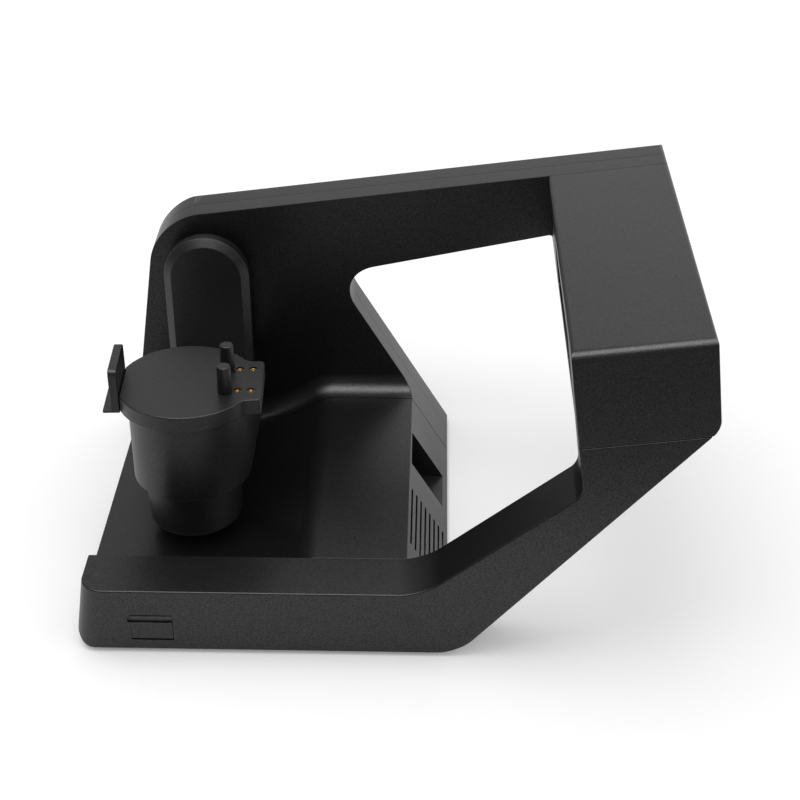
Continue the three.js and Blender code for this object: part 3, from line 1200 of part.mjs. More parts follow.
// Turning table: shaft line, platform, pins and inserts, and the sliding jaw
function makeTable(arm, motorTop) {
  const table = group(arm, 0, COLUMN_Y, -PLATFORM_DROP);
  table.rotation.z = rad(PLATFORM_TURN);
  const low = -PLATFORM_THICKNESS;
  const shaftLow = motorTop + PLATFORM_DROP + FIT;
  const couplerZ = shaftLow + MOTOR_SHAFT_LENGTH - SHAFT_INTO_COUPLER;
  place(
    table, 'table_motor_shaft',
    rod('z', 0, 0, shaftLow, MOTOR_SHAFT_R, MOTOR_SHAFT_LENGTH, SMALL_SIDES), PLAIN_STEEL,
  );
  const coupler = cut(
    rod('z', 0, 0, couplerZ, COUPLER_R, COUPLER_LENGTH),
    rod('z', 0, 0, couplerZ - OVERRUN, MOTOR_SHAFT_R + FIT / 2, OVERRUN + COUPLER_LENGTH, SMALL_SIDES),
    rod('z', 0, 0, couplerZ + SHAFT_INTO_COUPLER + FIT, TABLE_SHAFT_R + FIT / 2, COUPLER_LENGTH),
  );
  place(table, 'shaft_coupler', coupler, ALUMINIUM);
  const shaftZ = couplerZ + SHAFT_INTO_COUPLER + 2 * FIT;
  place(
    table, 'table_shaft',
    rod('z', 0, 0, shaftZ, TABLE_SHAFT_R, low + TABLE_SHAFT_SINK - shaftZ), PLAIN_STEEL,
  );

  const half = FLANGE_WIDTH / 2;
  const disc = rod('z', 0, 0, low, PLATFORM_R, PLATFORM_THICKNESS, FINE_SIDES);
  const flange = alongZ(rectangle(0, FLANGE_REACH, -half, half, FLANGE_R), low, 0);
  const hub = rod('z', 0, 0, low - TABLE_HUB_LENGTH, TABLE_HUB_R, TABLE_HUB_LENGTH + FIT);
  const jawFace = JAW_X + FIT;
  const jawSide = block(-OUT, jawFace, -OUT, OUT, low - OVERRUN, OVERRUN);
  const shaftBore = rod(
    'z', 0, 0, low - 2 * OVERRUN, TABLE_SHAFT_R + FIT / 2, 2 * OVERRUN + TABLE_SHAFT_SINK + FIT,
  );
  const pinSpots = [['front', -1], ['rear', 1]];
  const spigotHoleR = PIN_SPIGOT_R + FIT / 2;
  const spigotHoleLow = -PIN_SPIGOT_LENGTH - FIT;
  const pinHoles = pinSpots.map(([, side]) => (
    rod('z', PIN_X, side * PIN_SPACING / 2, spigotHoleLow, spigotHoleR, OVERRUN - spigotHoleLow, SMALL_SIDES)
  ));
  const insertSpots = [];
  for (const x of [INSERT_X, INSERT_X + INSERT_PITCH_X]) {
    for (const side of [-1, 1]) insertSpots.push([x, INSERT_Y + side * INSERT_PITCH_Y / 2]);
  }
  const insertLow = -INSERT_SINK - INSERT_LENGTH;
  const insertHoles = insertSpots.map(([x, y]) => (
    rod('z', x, y, insertLow - FIT, INSERT_R + FIT / 3, OVERRUN - insertLow, SMALL_SIDES)
  ));
  const rodBoreR = JAW_ROD_R + FIT;
  const rodBoreLength = OVERRUN + JAW_ROD_LENGTH;
  const rodBores = [-1, 1].map((side) => (
    rod(
      'x', jawFace - OVERRUN, side * JAW_ROD_SPACING / 2,
      -JAW_ROD_DROP, rodBoreR, rodBoreLength, SMALL_SIDES,
    )
  ));
  const platform = cut(
    joined(disc, flange, hub), jawSide, shaftBore, ...pinHoles, ...insertHoles, ...rodBores,
  );
  place(table, 'platform', platform, ARM_PLASTIC);
  for (const [name, side] of pinSpots) {
    const y = side * PIN_SPACING / 2;
    const pin = joined(
      rod('z', PIN_X, y, FIT, PIN_R, PIN_HEIGHT, PLAIN_SIDES, PIN_TOP_R),
      rod('z', PIN_X, y, -PIN_SPIGOT_LENGTH, PIN_SPIGOT_R, PIN_SPIGOT_LENGTH + 2 * FIT, SMALL_SIDES),
    );
    place(table, `${name}_pin`, pin, ARM_PLASTIC);
  }

  const jawOuter = JAW_X - JAW_THICKNESS;
  const jawHalf = JAW_LENGTH / 2;
  const upright = alongX([
    corner(-jawHalf, -JAW_DROP), corner(jawHalf, -JAW_DROP),
    corner(jawHalf, JAW_RISE, JAW_CORNER_R), corner(-jawHalf, JAW_RISE, JAW_CORNER_R),
  ], jawOuter, JAW_X);
  const lip = block(jawOuter - JAW_LIP, JAW_X, -jawHalf, jawHalf, -JAW_DROP, -JAW_DROP + JAW_LIP_THICKNESS);
  const rods = [-1, 1].map((side) => (
    rod(
      'x', JAW_X - JAW_ROD_HOLD, side * JAW_ROD_SPACING / 2,
      -JAW_ROD_DROP, JAW_ROD_R, JAW_ROD_LENGTH, SMALL_SIDES,
    )
  ));
  place(table, 'clamp_jaw', joined(upright, lip, ...rods), ARM_PLASTIC);
}

// Flap with its pin, and the service port behind it
function makeFlap() {
  const flap = group(scanner, FLAP_X, FLAP_THICKNESS, FLAP_PIN_Z);
  const half = FLAP_WIDTH / 2;
  const leaf = block(-half, half, -FLAP_THICKNESS, 0, 0, FLAP_TOP_Z - FLAP_PIN_Z);
  const barrel = rod('x', -half, 0, 0, FLAP_THICKNESS, FLAP_WIDTH, PLAIN_SIDES);
  const bore = rod('x', -half - OVERRUN, 0, 0, FLAP_PIN_R + FIT / 2, FLAP_WIDTH + 2 * OVERRUN, SMALL_SIDES);
  place(flap, 'port_flap', cut(joined(leaf, barrel), bore), MOULDED);
  const pinHalf = half + FLAP_GAP + FLAP_PIN_REACH - FIT;
  const pin = rod('x', FLAP_X - pinHalf, FLAP_THICKNESS, FLAP_PIN_Z, FLAP_PIN_R, 2 * pinHalf, SMALL_SIDES);
  place(scanner, 'flap_pin', pin, PLAIN_STEEL);
  const boardHalf = PORT_BOARD_WIDTH / 2;
  const boardTop = PORT_BOARD_Z + BOARD_THICKNESS;
  const [boardX0, boardX1] = [FLAP_X - boardHalf, FLAP_X + boardHalf];
  const board = block(
    boardX0, boardX1, PORT_BOARD_Y, PORT_BOARD_Y + PORT_BOARD_DEPTH, PORT_BOARD_Z, boardTop,
  );
  place(scanner, 'port_board', board, BOARD_GREEN);
  const port = group(scanner, FLAP_X, PORT_BOARD_Y, boardTop + FIT);
  port.rotation.z = -Math.PI / 2;
  place(port, 'service_port', socketBody(-SOCKET_LENGTH, 0, SOCKET_HEIGHT / 2), PLAIN_STEEL);
}

// Boards, standoffs and fan in the base
function makeElectronics() {
  const boardZ = FLOOR_TOP + STANDOFF_HEIGHT + FIT;
  const top = boardZ + BOARD_THICKNESS;
  const low = 3 * BOARD_THICKNESS;
  const parts = (board, shares) => shares.map(([x0, x1, y0, y1, rise]) => block(
    board.x + board.length * x0, board.x + board.length * x1,
    board.y + board.width * y0, board.y + board.width * y1, top - FIT, top + low * rise,
  ));
  const bare = (board) => block(
    board.x, board.x + board.length, board.y, board.y + board.width, boardZ, top,
  );
  place(
    scanner, 'main_board', joined(bare(MAIN_BOARD), ...parts(MAIN_BOARD, MAIN_PART_SHARES)), BOARD_GREEN,
  );
  const p = powerBoard;
  const cans = POWER_CAN_SHARES.map(([x, y]) => (
    rod('z', p.x + p.length * x, p.y + p.width * y, top - FIT, low, POWER_CAN_HEIGHT, SMALL_SIDES)
  ));
  place(scanner, 'power_board', joined(bare(p), ...parts(p, POWER_PART_SHARES), ...cans), BOARD_GREEN);
  makeFan();
}

function makeFan() {
  const y = SLIT_Y + SLIT_LENGTH / 2;
  const z = FLOOR_TOP + FIT + FAN_SIZE / 2;
  const half = FAN_SIZE / 2;
  const frame = alongX(rectangle(y - half, y + half, z - half, z + half, EDGE_R), FAN_X, FAN_X + FAN_DEPTH);
  const bore = rod('x', FAN_X - OVERRUN, y, z, FAN_BORE_R, FAN_DEPTH + 2 * OVERRUN, FINE_SIDES);
  const backX = FAN_X + FAN_DEPTH - FAN_SPOKE;
  const spoke = (half + FAN_BORE_R) / 2;
  const spokes = joined(
    block(backX, FAN_X + FAN_DEPTH, y - spoke, y + spoke, z - FAN_SPOKE / 2, z + FAN_SPOKE / 2),
    block(backX, FAN_X + FAN_DEPTH, y - FAN_SPOKE / 2, y + FAN_SPOKE / 2, z - spoke, z + spoke),
    rod('x', backX, y, z, FAN_HUB_R, FAN_SPOKE),
  );
  place(scanner, 'fan_frame', joined(cut(frame, bore), spokes), SOFT_RUBBER);
  const rotor = group(scanner, FAN_X, y, z);
  const length = FAN_DEPTH - FAN_SPOKE - FIT;
  const blades = [];
  for (let i = 0; i < FAN_BLADES; i++) {
    const span = FAN_BORE_R - FIT * 4;
    const blade = new THREE.BoxGeometry(length, FAN_SPOKE / 2, span - FAN_HUB_R / 2);
    blade.rotateZ(rad(FAN_BLADE_TILT));
    blade.scale(FAN_BLADE_SHARE, 1, 1);
    blade.translate(length / 2, 0, (span + FAN_HUB_R / 2) / 2);
    blade.rotateX(rad(360 * i / FAN_BLADES));
    blades.push(solid(blade));
  }
  const hub = rod('x', 0, 0, 0, FAN_HUB_R, length);
  const room = rod('x', 0, 0, 0, FAN_BORE_R - 2 * FIT, length, FINE_SIDES);
  place(rotor, 'fan_rotor', common(joined(hub, ...blades), room), SOFT_RUBBER);
}

// Rubber feet under the rail and under the wall
function makeFeet() {
  for (const [side, x] of [['left', LEFT_FOOT_X + FOOT_INSET_X], ['right', SLANT_FOOT_X - FOOT_INSET_X]]) {
    for (const [end, y] of [['front', FOOT_INSET_Y], ['rear', DEPTH - FOOT_INSET_Y]]) {
      const foot = rod('z', x, y, -FOOT_HEIGHT, FOOT_R - FOOT_HEIGHT / 3, FOOT_HEIGHT, PLAIN_SIDES, FOOT_R);
      place(scanner, `${end}_${side}_foot`, foot, SOFT_RUBBER);
    }
  }
}

makeFrontFrame();
makeBase();
makeWall();
makeSwitch();
makeHead();
const arm = group(scanner, SWING_X, 0, SWING_Z);
makeSwingDrive(arm);
makeTable(arm, makeArm(arm));
makeFlap();
makeElectronics();
makeFeet();

// Origin: middle of the footprint's box, on the surface that the feet stand on
const bounds = new THREE.Box3().setFromObject(scanner);
const middle = bounds.getCenter(new THREE.Vector3());
scanner.position.set(-middle.x, -middle.y, -bounds.min.z);

export default scanner;
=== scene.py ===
# %% [markdown]
# # A desktop 3D scanner in black moulded plastic
# The scanner is an open frame: a low front rail whose right end rises as a strut, a tilted optics head on
# top of it, an upright wall behind, and a low base between them. A swing arm on the wall carries a
# turning platform. The CAD frame gives every solid and joint; this lesson models the shells that the
# eye sees again, with the small edge roundings of a moulding, and gives each piece its finish.

# %% Tools and the CAD frame
import json
import math
import bmesh
import bpy
from mathutils import Matrix, Vector


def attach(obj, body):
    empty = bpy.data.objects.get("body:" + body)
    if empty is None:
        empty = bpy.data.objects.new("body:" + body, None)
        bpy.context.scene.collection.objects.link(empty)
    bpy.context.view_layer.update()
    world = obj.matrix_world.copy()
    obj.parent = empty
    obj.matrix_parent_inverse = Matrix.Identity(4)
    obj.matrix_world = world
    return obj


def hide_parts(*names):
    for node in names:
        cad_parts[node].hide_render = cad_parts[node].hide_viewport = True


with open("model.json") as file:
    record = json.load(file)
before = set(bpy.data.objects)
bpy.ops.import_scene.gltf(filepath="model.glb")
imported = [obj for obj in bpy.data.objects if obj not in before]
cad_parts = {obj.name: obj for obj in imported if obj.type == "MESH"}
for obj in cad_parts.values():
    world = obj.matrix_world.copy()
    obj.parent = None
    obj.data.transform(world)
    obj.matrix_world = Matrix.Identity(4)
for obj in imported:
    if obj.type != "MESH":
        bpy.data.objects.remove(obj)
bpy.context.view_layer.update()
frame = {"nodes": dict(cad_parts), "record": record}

# %% [markdown]
# ## The lines of the front view
# Seen from the front, every shell is an outline of straight lines with rounded corners. Points could be
# typed one by one, but lines that cross keep the slopes true when a size changes. A line is a point and
# an angle; an outline is a list of corners, each with its radius. All sizes are millimetres, with X to
# the right, Y away from the front face and Z up from the housing's lower edge.

# %% Lines, crossings and insets
def line_at(x, z, degrees):
    """A line through a point at an angle, kept as its point and its direction."""
    return x, z, math.cos(math.radians(degrees)), math.sin(math.radians(degrees))


def shifted(line, distance):
    """The line moved to its left, which is inwards on a counter-clockwise outline."""
    return line[0] - line[3] * distance, line[1] + line[2] * distance, line[2], line[3]


def crossing(a, b, r=0.0):
    """The corner where two lines cross, with the radius of its round."""
    t = ((b[0] - a[0]) * b[3] - (b[1] - a[1]) * b[2]) / (a[2] * b[3] - a[3] * b[2])
    return a[0] + a[2] * t, a[1] + a[3] * t, r


def edge_line(a, b):
    """The line from one corner to the next."""
    return line_at(a[0], a[1], math.degrees(math.atan2(b[1] - a[1], b[0] - a[0])))


def inset(outline, depth):
    """The outline moved inwards, with its outer corner radii reduced and its inner ones enlarged."""
    lines = [shifted(edge_line(c, outline[(i + 1) % len(outline)]), depth) for i, c in enumerate(outline)]
    corners = []
    for i, c in enumerate(outline):
        before, after = lines[i - 1], lines[i]
        turn = before[2] * after[3] - before[3] * after[2]
        r = max(c[2] - depth, 0) if turn > 0 else (c[2] + depth if c[2] else 0)
        corners.append(crossing(before, after, r))
    return corners


def rectangle(x0, x1, z0, z1, r=0.0):
    return [(x0, z0, r), (x1, z0, r), (x1, z1, r), (x0, z1, r)]


print("a 10 by 6 outline, inset by 2:", [corner[:2] for corner in inset(rectangle(0, 10, 0, 6), 2)])

# %% Sizes of the frame, wall and head
# A cutting tool reaches PAST what it cuts, and FAR stands for no end at all. HAIR keeps two faces out
# of one plane, where a Boolean could take them for one.
DEPTH, WALL, SEAM, FIT, HAIR, PAST, FAR = 306.0, 2.5, 0.3, 0.3, 0.02, 5.0, 1000.0
LEFT_X, LEFT_LEAN, TOP_Z, STRUT_ANGLE = -158.0, 8.75, 217.7, 49.0
FOOT_R, CREASE_R, STRUT_FOOT_R, STRUT_TOP_R = 11.0, 1.2, 32.0, 14.0
RAIL_END_R, STRUT_IN_R, WINDOW_R, SMALL_R, CREST_R = 45.0, 12.0, 23.0, 3.0, 47.0
RAIL_HEIGHT, RAIL_DEPTH, RAIL_PLAN_R = 50.5, 40.2, 16.0
TILT, HEAD_X, HEAD_WIDTH, HEAD_HEIGHT, HEAD_FOLD_R = 7.4, 174.7, 90.4, 70.0, 7.0
FLOOR_Z, SWING_X, SWING_Z, PLATEAU_R = 20.0, -86.0, 162.0, 26.0
WALL_FRONT, SHELL_SEAM, COVE_R = 267.5, 285.4, 14.6
COVE_TOE = WALL_FRONT - COVE_R
BASE_FRONT, BASE_BACK = RAIL_DEPTH + SEAM, COVE_TOE - SEAM

bottom = line_at(0, 0, 0)
left = line_at(LEFT_X, 0, 90 - LEFT_LEAN)
top = line_at(0, TOP_Z, TILT)
rail_top = line_at(0, RAIL_HEIGHT, 0)
slant = line_at(103.3, 0, 120.6)
window = line_at(41.8, 161.6, 12.05)
strut_out = line_at(109.7, 0, STRUT_ANGLE)
strut_in = line_at(83.9, RAIL_HEIGHT, 39)
head_corner = crossing(top, line_at(HEAD_X, 0, 90))
head_left = line_at(head_corner[0], head_corner[1], 90 + TILT)
head_right = shifted(head_left, -HEAD_WIDTH)
head_bottom = shifted(top, -HEAD_HEIGHT)
print("head corner", head_corner[:2])

# %% Outlines of the shells, counter-clockwise
frame_outline = [
    crossing(left, bottom, FOOT_R), crossing(bottom, strut_out, STRUT_FOOT_R),
    crossing(strut_out, head_right, STRUT_TOP_R), crossing(head_right, top), crossing(top, head_left),
    crossing(head_left, strut_in, STRUT_IN_R), crossing(strut_in, rail_top, RAIL_END_R),
    crossing(rail_top, left),
]
wall_outline = [
    crossing(left, bottom, FOOT_R), crossing(bottom, slant, CREASE_R), crossing(slant, window, WINDOW_R),
    crossing(window, head_left, SMALL_R), crossing(head_left, head_bottom, SMALL_R),
    crossing(head_bottom, strut_out), crossing(strut_out, head_right, STRUT_TOP_R),
    crossing(head_right, top, SMALL_R), crossing(top, left, CREST_R),
]
RAMP_R = SWING_Z - FLOOR_Z
ramp_angle = math.acos((SWING_Z - RAIL_HEIGHT) / RAMP_R)
RAMP_STEPS = 14
ramp = []
# The point next to the plateau is left out, to give its round the room.
for i in [RAMP_STEPS, *range(RAMP_STEPS - 2, -1, -1)]:
    a = ramp_angle * i / RAMP_STEPS
    r = PLATEAU_R if i == RAMP_STEPS else 0
    ramp.append((SWING_X + RAMP_R * math.sin(a), SWING_Z - RAMP_R * math.cos(a), r))
base_outline = [
    crossing(left, bottom, FOOT_R), crossing(bottom, slant, CREASE_R), crossing(slant, rail_top), *ramp,
    crossing(line_at(0, FLOOR_Z, 0), left),
]
print("corners:", len(frame_outline), len(wall_outline), len(base_outline))

# %% [markdown]
# ## From an outline to a solid
# A moulding with one draw direction is an outline pulled along that direction. A curve object with an
# extrusion would also do, but a bmesh gives edges that can be picked and bevelled afterwards. The
# outline's corners are a few vertices; a vertex bevel rounds each, and one extrusion makes the solid.

# %% Prisms, rods and boxes
def spot(axis, u, v, level):
    """The point at u and v across an axis and at a level along it."""
    return {"x": (level, u, v), "y": (u, level, v), "z": (u, v, level)}[axis]


def rounded_face(bm, outline, axis, level):
    """A face with this outline, its corners rounded by vertex bevels; returns its edges."""
    old = set(bm.edges)
    verts = [bm.verts.new(spot(axis, u, v, level)) for u, v, r in outline]
    bm.faces.new(verts)
    for i, (u, v, r) in enumerate(outline):
        if r:
            a = edge_line(outline[i - 1], outline[i])
            b = edge_line(outline[i], outline[(i + 1) % len(outline)])
            turn = abs(math.atan2(a[2] * b[3] - a[3] * b[2], a[2] * b[2] + a[3] * b[3]))
            # A facet takes 5 degrees of a large round, and 10 of a small one.
            steps = max(3, math.ceil(math.degrees(turn) / (5 if r > 10 else 10)))
            bmesh.ops.bevel(
                bm, geom=[verts[i]], offset=r * math.tan(turn / 2), offset_type="OFFSET", segments=steps,
                profile=0.5, affect="VERTICES", material=-1,
            )
    return [e for e in bm.edges if e not in old]


def prism(outline, start, end, axis="y"):
    """A solid with this outline, from start to end along the axis."""
    bm = bmesh.new()
    rounded_face(bm, outline, axis, start)
    bmesh.ops.remove_doubles(bm, verts=bm.verts[:], dist=0.02)
    made = bmesh.ops.extrude_face_region(bm, geom=bm.faces[:])
    moved = [g for g in made["geom"] if isinstance(g, bmesh.types.BMVert)]
    bmesh.ops.translate(bm, verts=moved, vec=spot(axis, 0, 0, end - start))
    bmesh.ops.recalc_face_normals(bm, faces=bm.faces[:])
    return bm


def box(x0, x1, y0, y1, z0, z1):
    """A block between three pairs of limits."""
    bm = bmesh.new()
    bmesh.ops.create_cube(bm, size=1)
    bmesh.ops.scale(bm, vec=(x1 - x0, y1 - y0, z1 - z0), verts=bm.verts[:])
    bmesh.ops.translate(bm, vec=((x0 + x1) / 2, (y0 + y1) / 2, (z0 + z1) / 2), verts=bm.verts[:])
    return bm


def rod(axis, u, v, start, length, r, end_r=None, sides=48):
    """A round bar; u and v are its centre across the axis."""
    bm = bmesh.new()
    bmesh.ops.create_cone(
        bm, cap_ends=True, segments=sides, radius1=r, radius2=r if end_r is None else end_r, depth=length,
    )
    bmesh.ops.translate(bm, vec=(0, 0, length / 2), verts=bm.verts[:])
    turn = {"x": Matrix.Rotation(math.pi / 2, 4, "Y"), "y": Matrix.Rotation(-math.pi / 2, 4, "X")}
    if axis in turn:
        bmesh.ops.rotate(bm, matrix=turn[axis].to_3x3(), verts=bm.verts[:])
    bmesh.ops.translate(bm, vec=spot(axis, u, v, start), verts=bm.verts[:])
    return bm


sample = prism(rectangle(0, 20, 0, 10, 2), 0, 5)
print("a block with four rounds has", len(sample.faces), "faces")
sample.free()

# %% [markdown]
# ## Hollows and openings
# The shells are hollow, and their cavities, slits and screw holes meet at odd angles, which no single
# extrusion gives. The Boolean modifier with its exact solver cuts them cleanly. It runs on two
# throw-away objects, and its result comes back as a bmesh.

# %% Boolean of two solids
MERGE = 0.002  # vertices closer than this, in millimetres, become one


def as_object(bm, name):
    """Turns a bmesh into an object of the scene."""
    mesh = bpy.data.meshes.new(name)
    bm.to_mesh(mesh)
    bm.free()
    obj = bpy.data.objects.new(name, mesh)
    bpy.context.scene.collection.objects.link(obj)
    return obj


def combine(base, operation, *tools):
    """Cuts (DIFFERENCE), adds (UNION) or keeps the common part (INTERSECT), one tool after another."""
    for tool in tools:
        pair = [as_object(bm, "part") for bm in (base, tool)]
        cutter = pair[0].modifiers.new("cut", "BOOLEAN")
        cutter.operation = operation
        cutter.solver = "EXACT"
        cutter.object = pair[1]
        bpy.context.view_layer.update()
        depsgraph = bpy.context.evaluated_depsgraph_get()
        result = bpy.data.meshes.new_from_object(pair[0].evaluated_get(depsgraph))
        base = bmesh.new()
        base.from_mesh(result)
        bpy.data.meshes.remove(result)
        for obj in pair:
            mesh = obj.data
            bpy.data.objects.remove(obj)
            bpy.data.meshes.remove(mesh)
        bmesh.ops.remove_doubles(base, verts=base.verts[:], dist=MERGE)
    return base


def cut(base, *tools):
    return combine(base, "DIFFERENCE", *tools)


def add(base, *tools):
    return combine(base, "UNION", *tools)


def keep(base, *tools):
    return combine(base, "INTERSECT", *tools)


sample = cut(box(0, 10, 0, 10, 0, 10), rod("z", 5, 5, -1, 12, 3))
print("a drilled block keeps", round(sample.calc_volume()), "of 1000 cubic millimetres")
sample.free()

# %% [markdown]
# ## Rounded edges
# A moulded edge is never sharp: it has a radius of about a millimetre, and that thin round is what
# catches the light along the rail and the strut in a dark object. A Bevel modifier would round every
# edge by the same amount and would be held back by the narrowest slit, so the outer edges are
# bevelled in the bmesh, before any slit is cut.

# %% Bevels on chosen edges
SLIVER, LEFTOVER = 0.03, 0.01  # what is merged before an unclamped bevel, and after any bevel


def sharp_edges(bm, degrees, where):
    """The outer edges that turn by more than these degrees and whose middle passes the test."""
    return [
        e for e in bm.edges
        if len(e.link_faces) == 2 and e.calc_face_angle_signed(0) >= math.radians(degrees)
        and where((e.verts[0].co + e.verts[1].co) / 2)
    ]


def soften(bm, width, segments=3, degrees=40, where=lambda middle: True, clamp=False):
    """Rounds outer edges by a width; clamped, no round grows past the short edges beside it."""
    bmesh.ops.remove_doubles(bm, verts=bm.verts[:], dist=MERGE if clamp else SLIVER)
    edges = sharp_edges(bm, degrees, where)
    bmesh.ops.bevel(
        bm, geom=edges, offset=width, offset_type="OFFSET", segments=segments, profile=0.5,
        affect="EDGES", clamp_overlap=clamp, material=-1,
    )
    bmesh.ops.remove_doubles(bm, verts=bm.verts[:], dist=LEFTOVER)
    return bm


sample = soften(box(0, 10, 0, 10, 0, 10), 1)
print("a block with softened edges has", len(sample.faces), "faces")
sample.free()

# %% [markdown]
# ## Finishes
# One small function adds a node with its settings and its links, and one turns a hex colour to linear.
# Black moulded ABS has an IOR of about 1.53. The tool is spark-eroded, which leaves a fine random
# grain: it scatters the gloss, so the black looks like dark grey satin wherever it faces the light.

# %% Node and colour helpers
COLOUR_A, COLOUR_B, COLOUR_OUT = 6, 7, 2  # the Mix node's sockets for colours: two inputs and the result


def linear(hex_colour):
    """A hex colour in linear light."""
    parts = [int(hex_colour[i:i + 2], 16) / 255 for i in (1, 3, 5)]
    return [c / 12.92 if c <= 0.04045 else ((c + 0.055) / 1.055) ** 2.4 for c in parts] + [1.0]


def shaded(hex_colour, factor):
    """The same, made darker or lighter by a factor."""
    return [c * factor for c in linear(hex_colour)[:3]] + [1]


def every(mm):
    """The Scale at which a pattern repeats about every so many millimetres; coordinates are metres."""
    return 1000 / mm


def put(tree, kind, sockets=None, **settings):
    """Adds a shader node; a socket is given a number, a colour or another node's output."""
    made = tree.nodes.new("ShaderNode" + kind)
    for name, value in settings.items():
        setattr(made, name, value)
    for key, value in (sockets or {}).items():
        socket = made.inputs[key]
        if isinstance(value, bpy.types.NodeSocket):
            tree.links.new(value, socket)
        else:
            socket.default_value = value
    return made


def new_finish(name):
    """A material with an empty tree, and its Object coordinates."""
    material = bpy.data.materials.new(name)
    material.use_nodes = True
    tree = material.node_tree
    tree.nodes.clear()
    return material, tree, put(tree, "TexCoord").outputs["Object"]


def close_finish(tree, shader):
    put(tree, "OutputMaterial", {"Surface": shader.outputs[0]})


print("#808080 is", round(linear("#808080")[0], 3), "in linear light")

# %% Black moulded ABS
def moulded(name, hex_colour, roughness, grain_mm, depth_mm, ior=1.53):
    """Plastic with a spark-eroded grain: bumps of one size, a slight change of roughness and of shade."""
    material, tree, place = new_finish(name)
    grain = put(tree, "TexNoise", {"Vector": place, "Scale": every(grain_mm), "Detail": 2.0})
    flow = put(tree, "TexNoise", {"Vector": place, "Scale": every(60), "Detail": 1.0})
    gloss = put(tree, "MapRange", {
        "Value": flow.outputs[0], "To Min": roughness - 0.04, "To Max": roughness + 0.04,
    })
    shade = put(tree, "Mix", {
        "Factor": grain.outputs[0], COLOUR_A: shaded(hex_colour, 0.8), COLOUR_B: shaded(hex_colour, 1.25),
    }, data_type="RGBA")
    bump = put(tree, "Bump", {
        "Height": grain.outputs[0], "Distance": depth_mm / 1000, "Strength": 1.0,
    })
    # The pits between the tips of the grain hold back part of the reflection.
    pits = put(tree, "MapRange", {
        "Value": grain.outputs[0], "From Min": 0.3, "From Max": 0.7, "To Min": 0.28, "To Max": 0.66,
    })
    close_finish(tree, put(tree, "BsdfPrincipled", {
        "Base Color": shade.outputs[COLOUR_OUT], "Roughness": gloss.outputs[0], "IOR": ior,
        "Normal": bump.outputs[0], "Specular IOR Level": pits.outputs[0],
    }))
    return material


# The real grain is about 0.05 mm; it is drawn at 0.7 mm, because finer bumps vanish at this distance.
housing_abs = moulded("black ABS, spark-eroded", "#0c0c0d", roughness=0.34, grain_mm=0.7, depth_mm=0.06)
arm_abs = moulded("black ABS, arm, spark-eroded", "#0e0e0f", roughness=0.38, grain_mm=0.7, depth_mm=0.06)
print(housing_abs.name, "and", arm_abs.name)

# %% [markdown]
# ## The other materials
# The inner pieces are plain workshop materials: nylon connectors, moulded rubber feet, zinc-plated
# sheet, turned aluminium and brass, black-coated motor and camera bodies, green boards and coated glass.
# Each gets its own cause of unevenness: fibres, the ripple of a coat, marks of a tool, clouds in a
# plating, copper under a mask or a slight haze.

# %% Nylon, rubber and coated metal
# Glass fibres near the surface make nylon's gloss uneven; rubber is dull, and its mould's grain shows.
nylon = moulded("black glass-filled nylon", "#141414", roughness=0.38, grain_mm=0.9, depth_mm=0.008)
rubber = moulded("moulded black rubber", "#121212", roughness=0.75, grain_mm=0.7, depth_mm=0.03, ior=1.52)


def coated(name, hex_colour, roughness):
    """A thin coat on metal, whose faint ripple, about 0.7 mm wide, breaks up the gloss."""
    material, tree, place = new_finish(name)
    ripple = put(tree, "TexNoise", {"Vector": place, "Scale": every(0.7), "Detail": 3.0})
    gloss = put(tree, "MapRange", {
        "Value": ripple.outputs[0], "To Min": roughness - 0.06, "To Max": roughness + 0.06,
    })
    bump = put(tree, "Bump", {"Height": ripple.outputs[0], "Distance": 0.00001, "Strength": 1.0})
    close_finish(tree, put(tree, "BsdfPrincipled", {
        "Base Color": linear(hex_colour), "Roughness": gloss.outputs[0], "Normal": bump.outputs[0],
    }))
    return material


black_metal = coated("black electro-coated steel", "#2b2c2e", roughness=0.42)
print(nylon.name, "/", rubber.name, "/", black_metal.name)

# %% Zinc-plated steel, machined aluminium and brass
def worked_metal(name, hex_colour, roughness, mark_mm):
    """Bare metal: fine marks in one direction change the roughness, and clouds change the shade a little."""
    material, tree, place = new_finish(name)
    stretched = put(tree, "Mapping", {"Vector": place, "Scale": (1, 0.05, 1)})
    marks = put(tree, "TexNoise", {
        "Vector": stretched.outputs[0], "Scale": every(mark_mm), "Detail": 2.0,
    })
    clouds = put(tree, "TexNoise", {"Vector": place, "Scale": every(12), "Detail": 2.0})
    gloss = put(tree, "MapRange", {
        "Value": marks.outputs[0], "To Min": roughness - 0.08, "To Max": roughness + 0.08,
    })
    shade = put(tree, "Mix", {
        "Factor": clouds.outputs[0], COLOUR_A: shaded(hex_colour, 0.88), COLOUR_B: linear(hex_colour),
    }, data_type="RGBA")
    close_finish(tree, put(tree, "BsdfPrincipled", {
        "Base Color": shade.outputs[COLOUR_OUT], "Roughness": gloss.outputs[0], "Metallic": 1.0,
    }))
    return material


# Real tool marks are about 0.1 mm apart; they are drawn at 0.4 to 0.6 mm, because finer ones vanish.
zinc_steel = worked_metal("zinc-plated steel", "#a9adb0", roughness=0.38, mark_mm=0.6)
aluminium = worked_metal("machined aluminium", "#c6c9cc", roughness=0.32, mark_mm=0.5)
brass = worked_metal("turned brass", "#a58850", roughness=0.36, mark_mm=0.4)
print(zinc_steel.name, "/", aluminium.name, "/", brass.name)

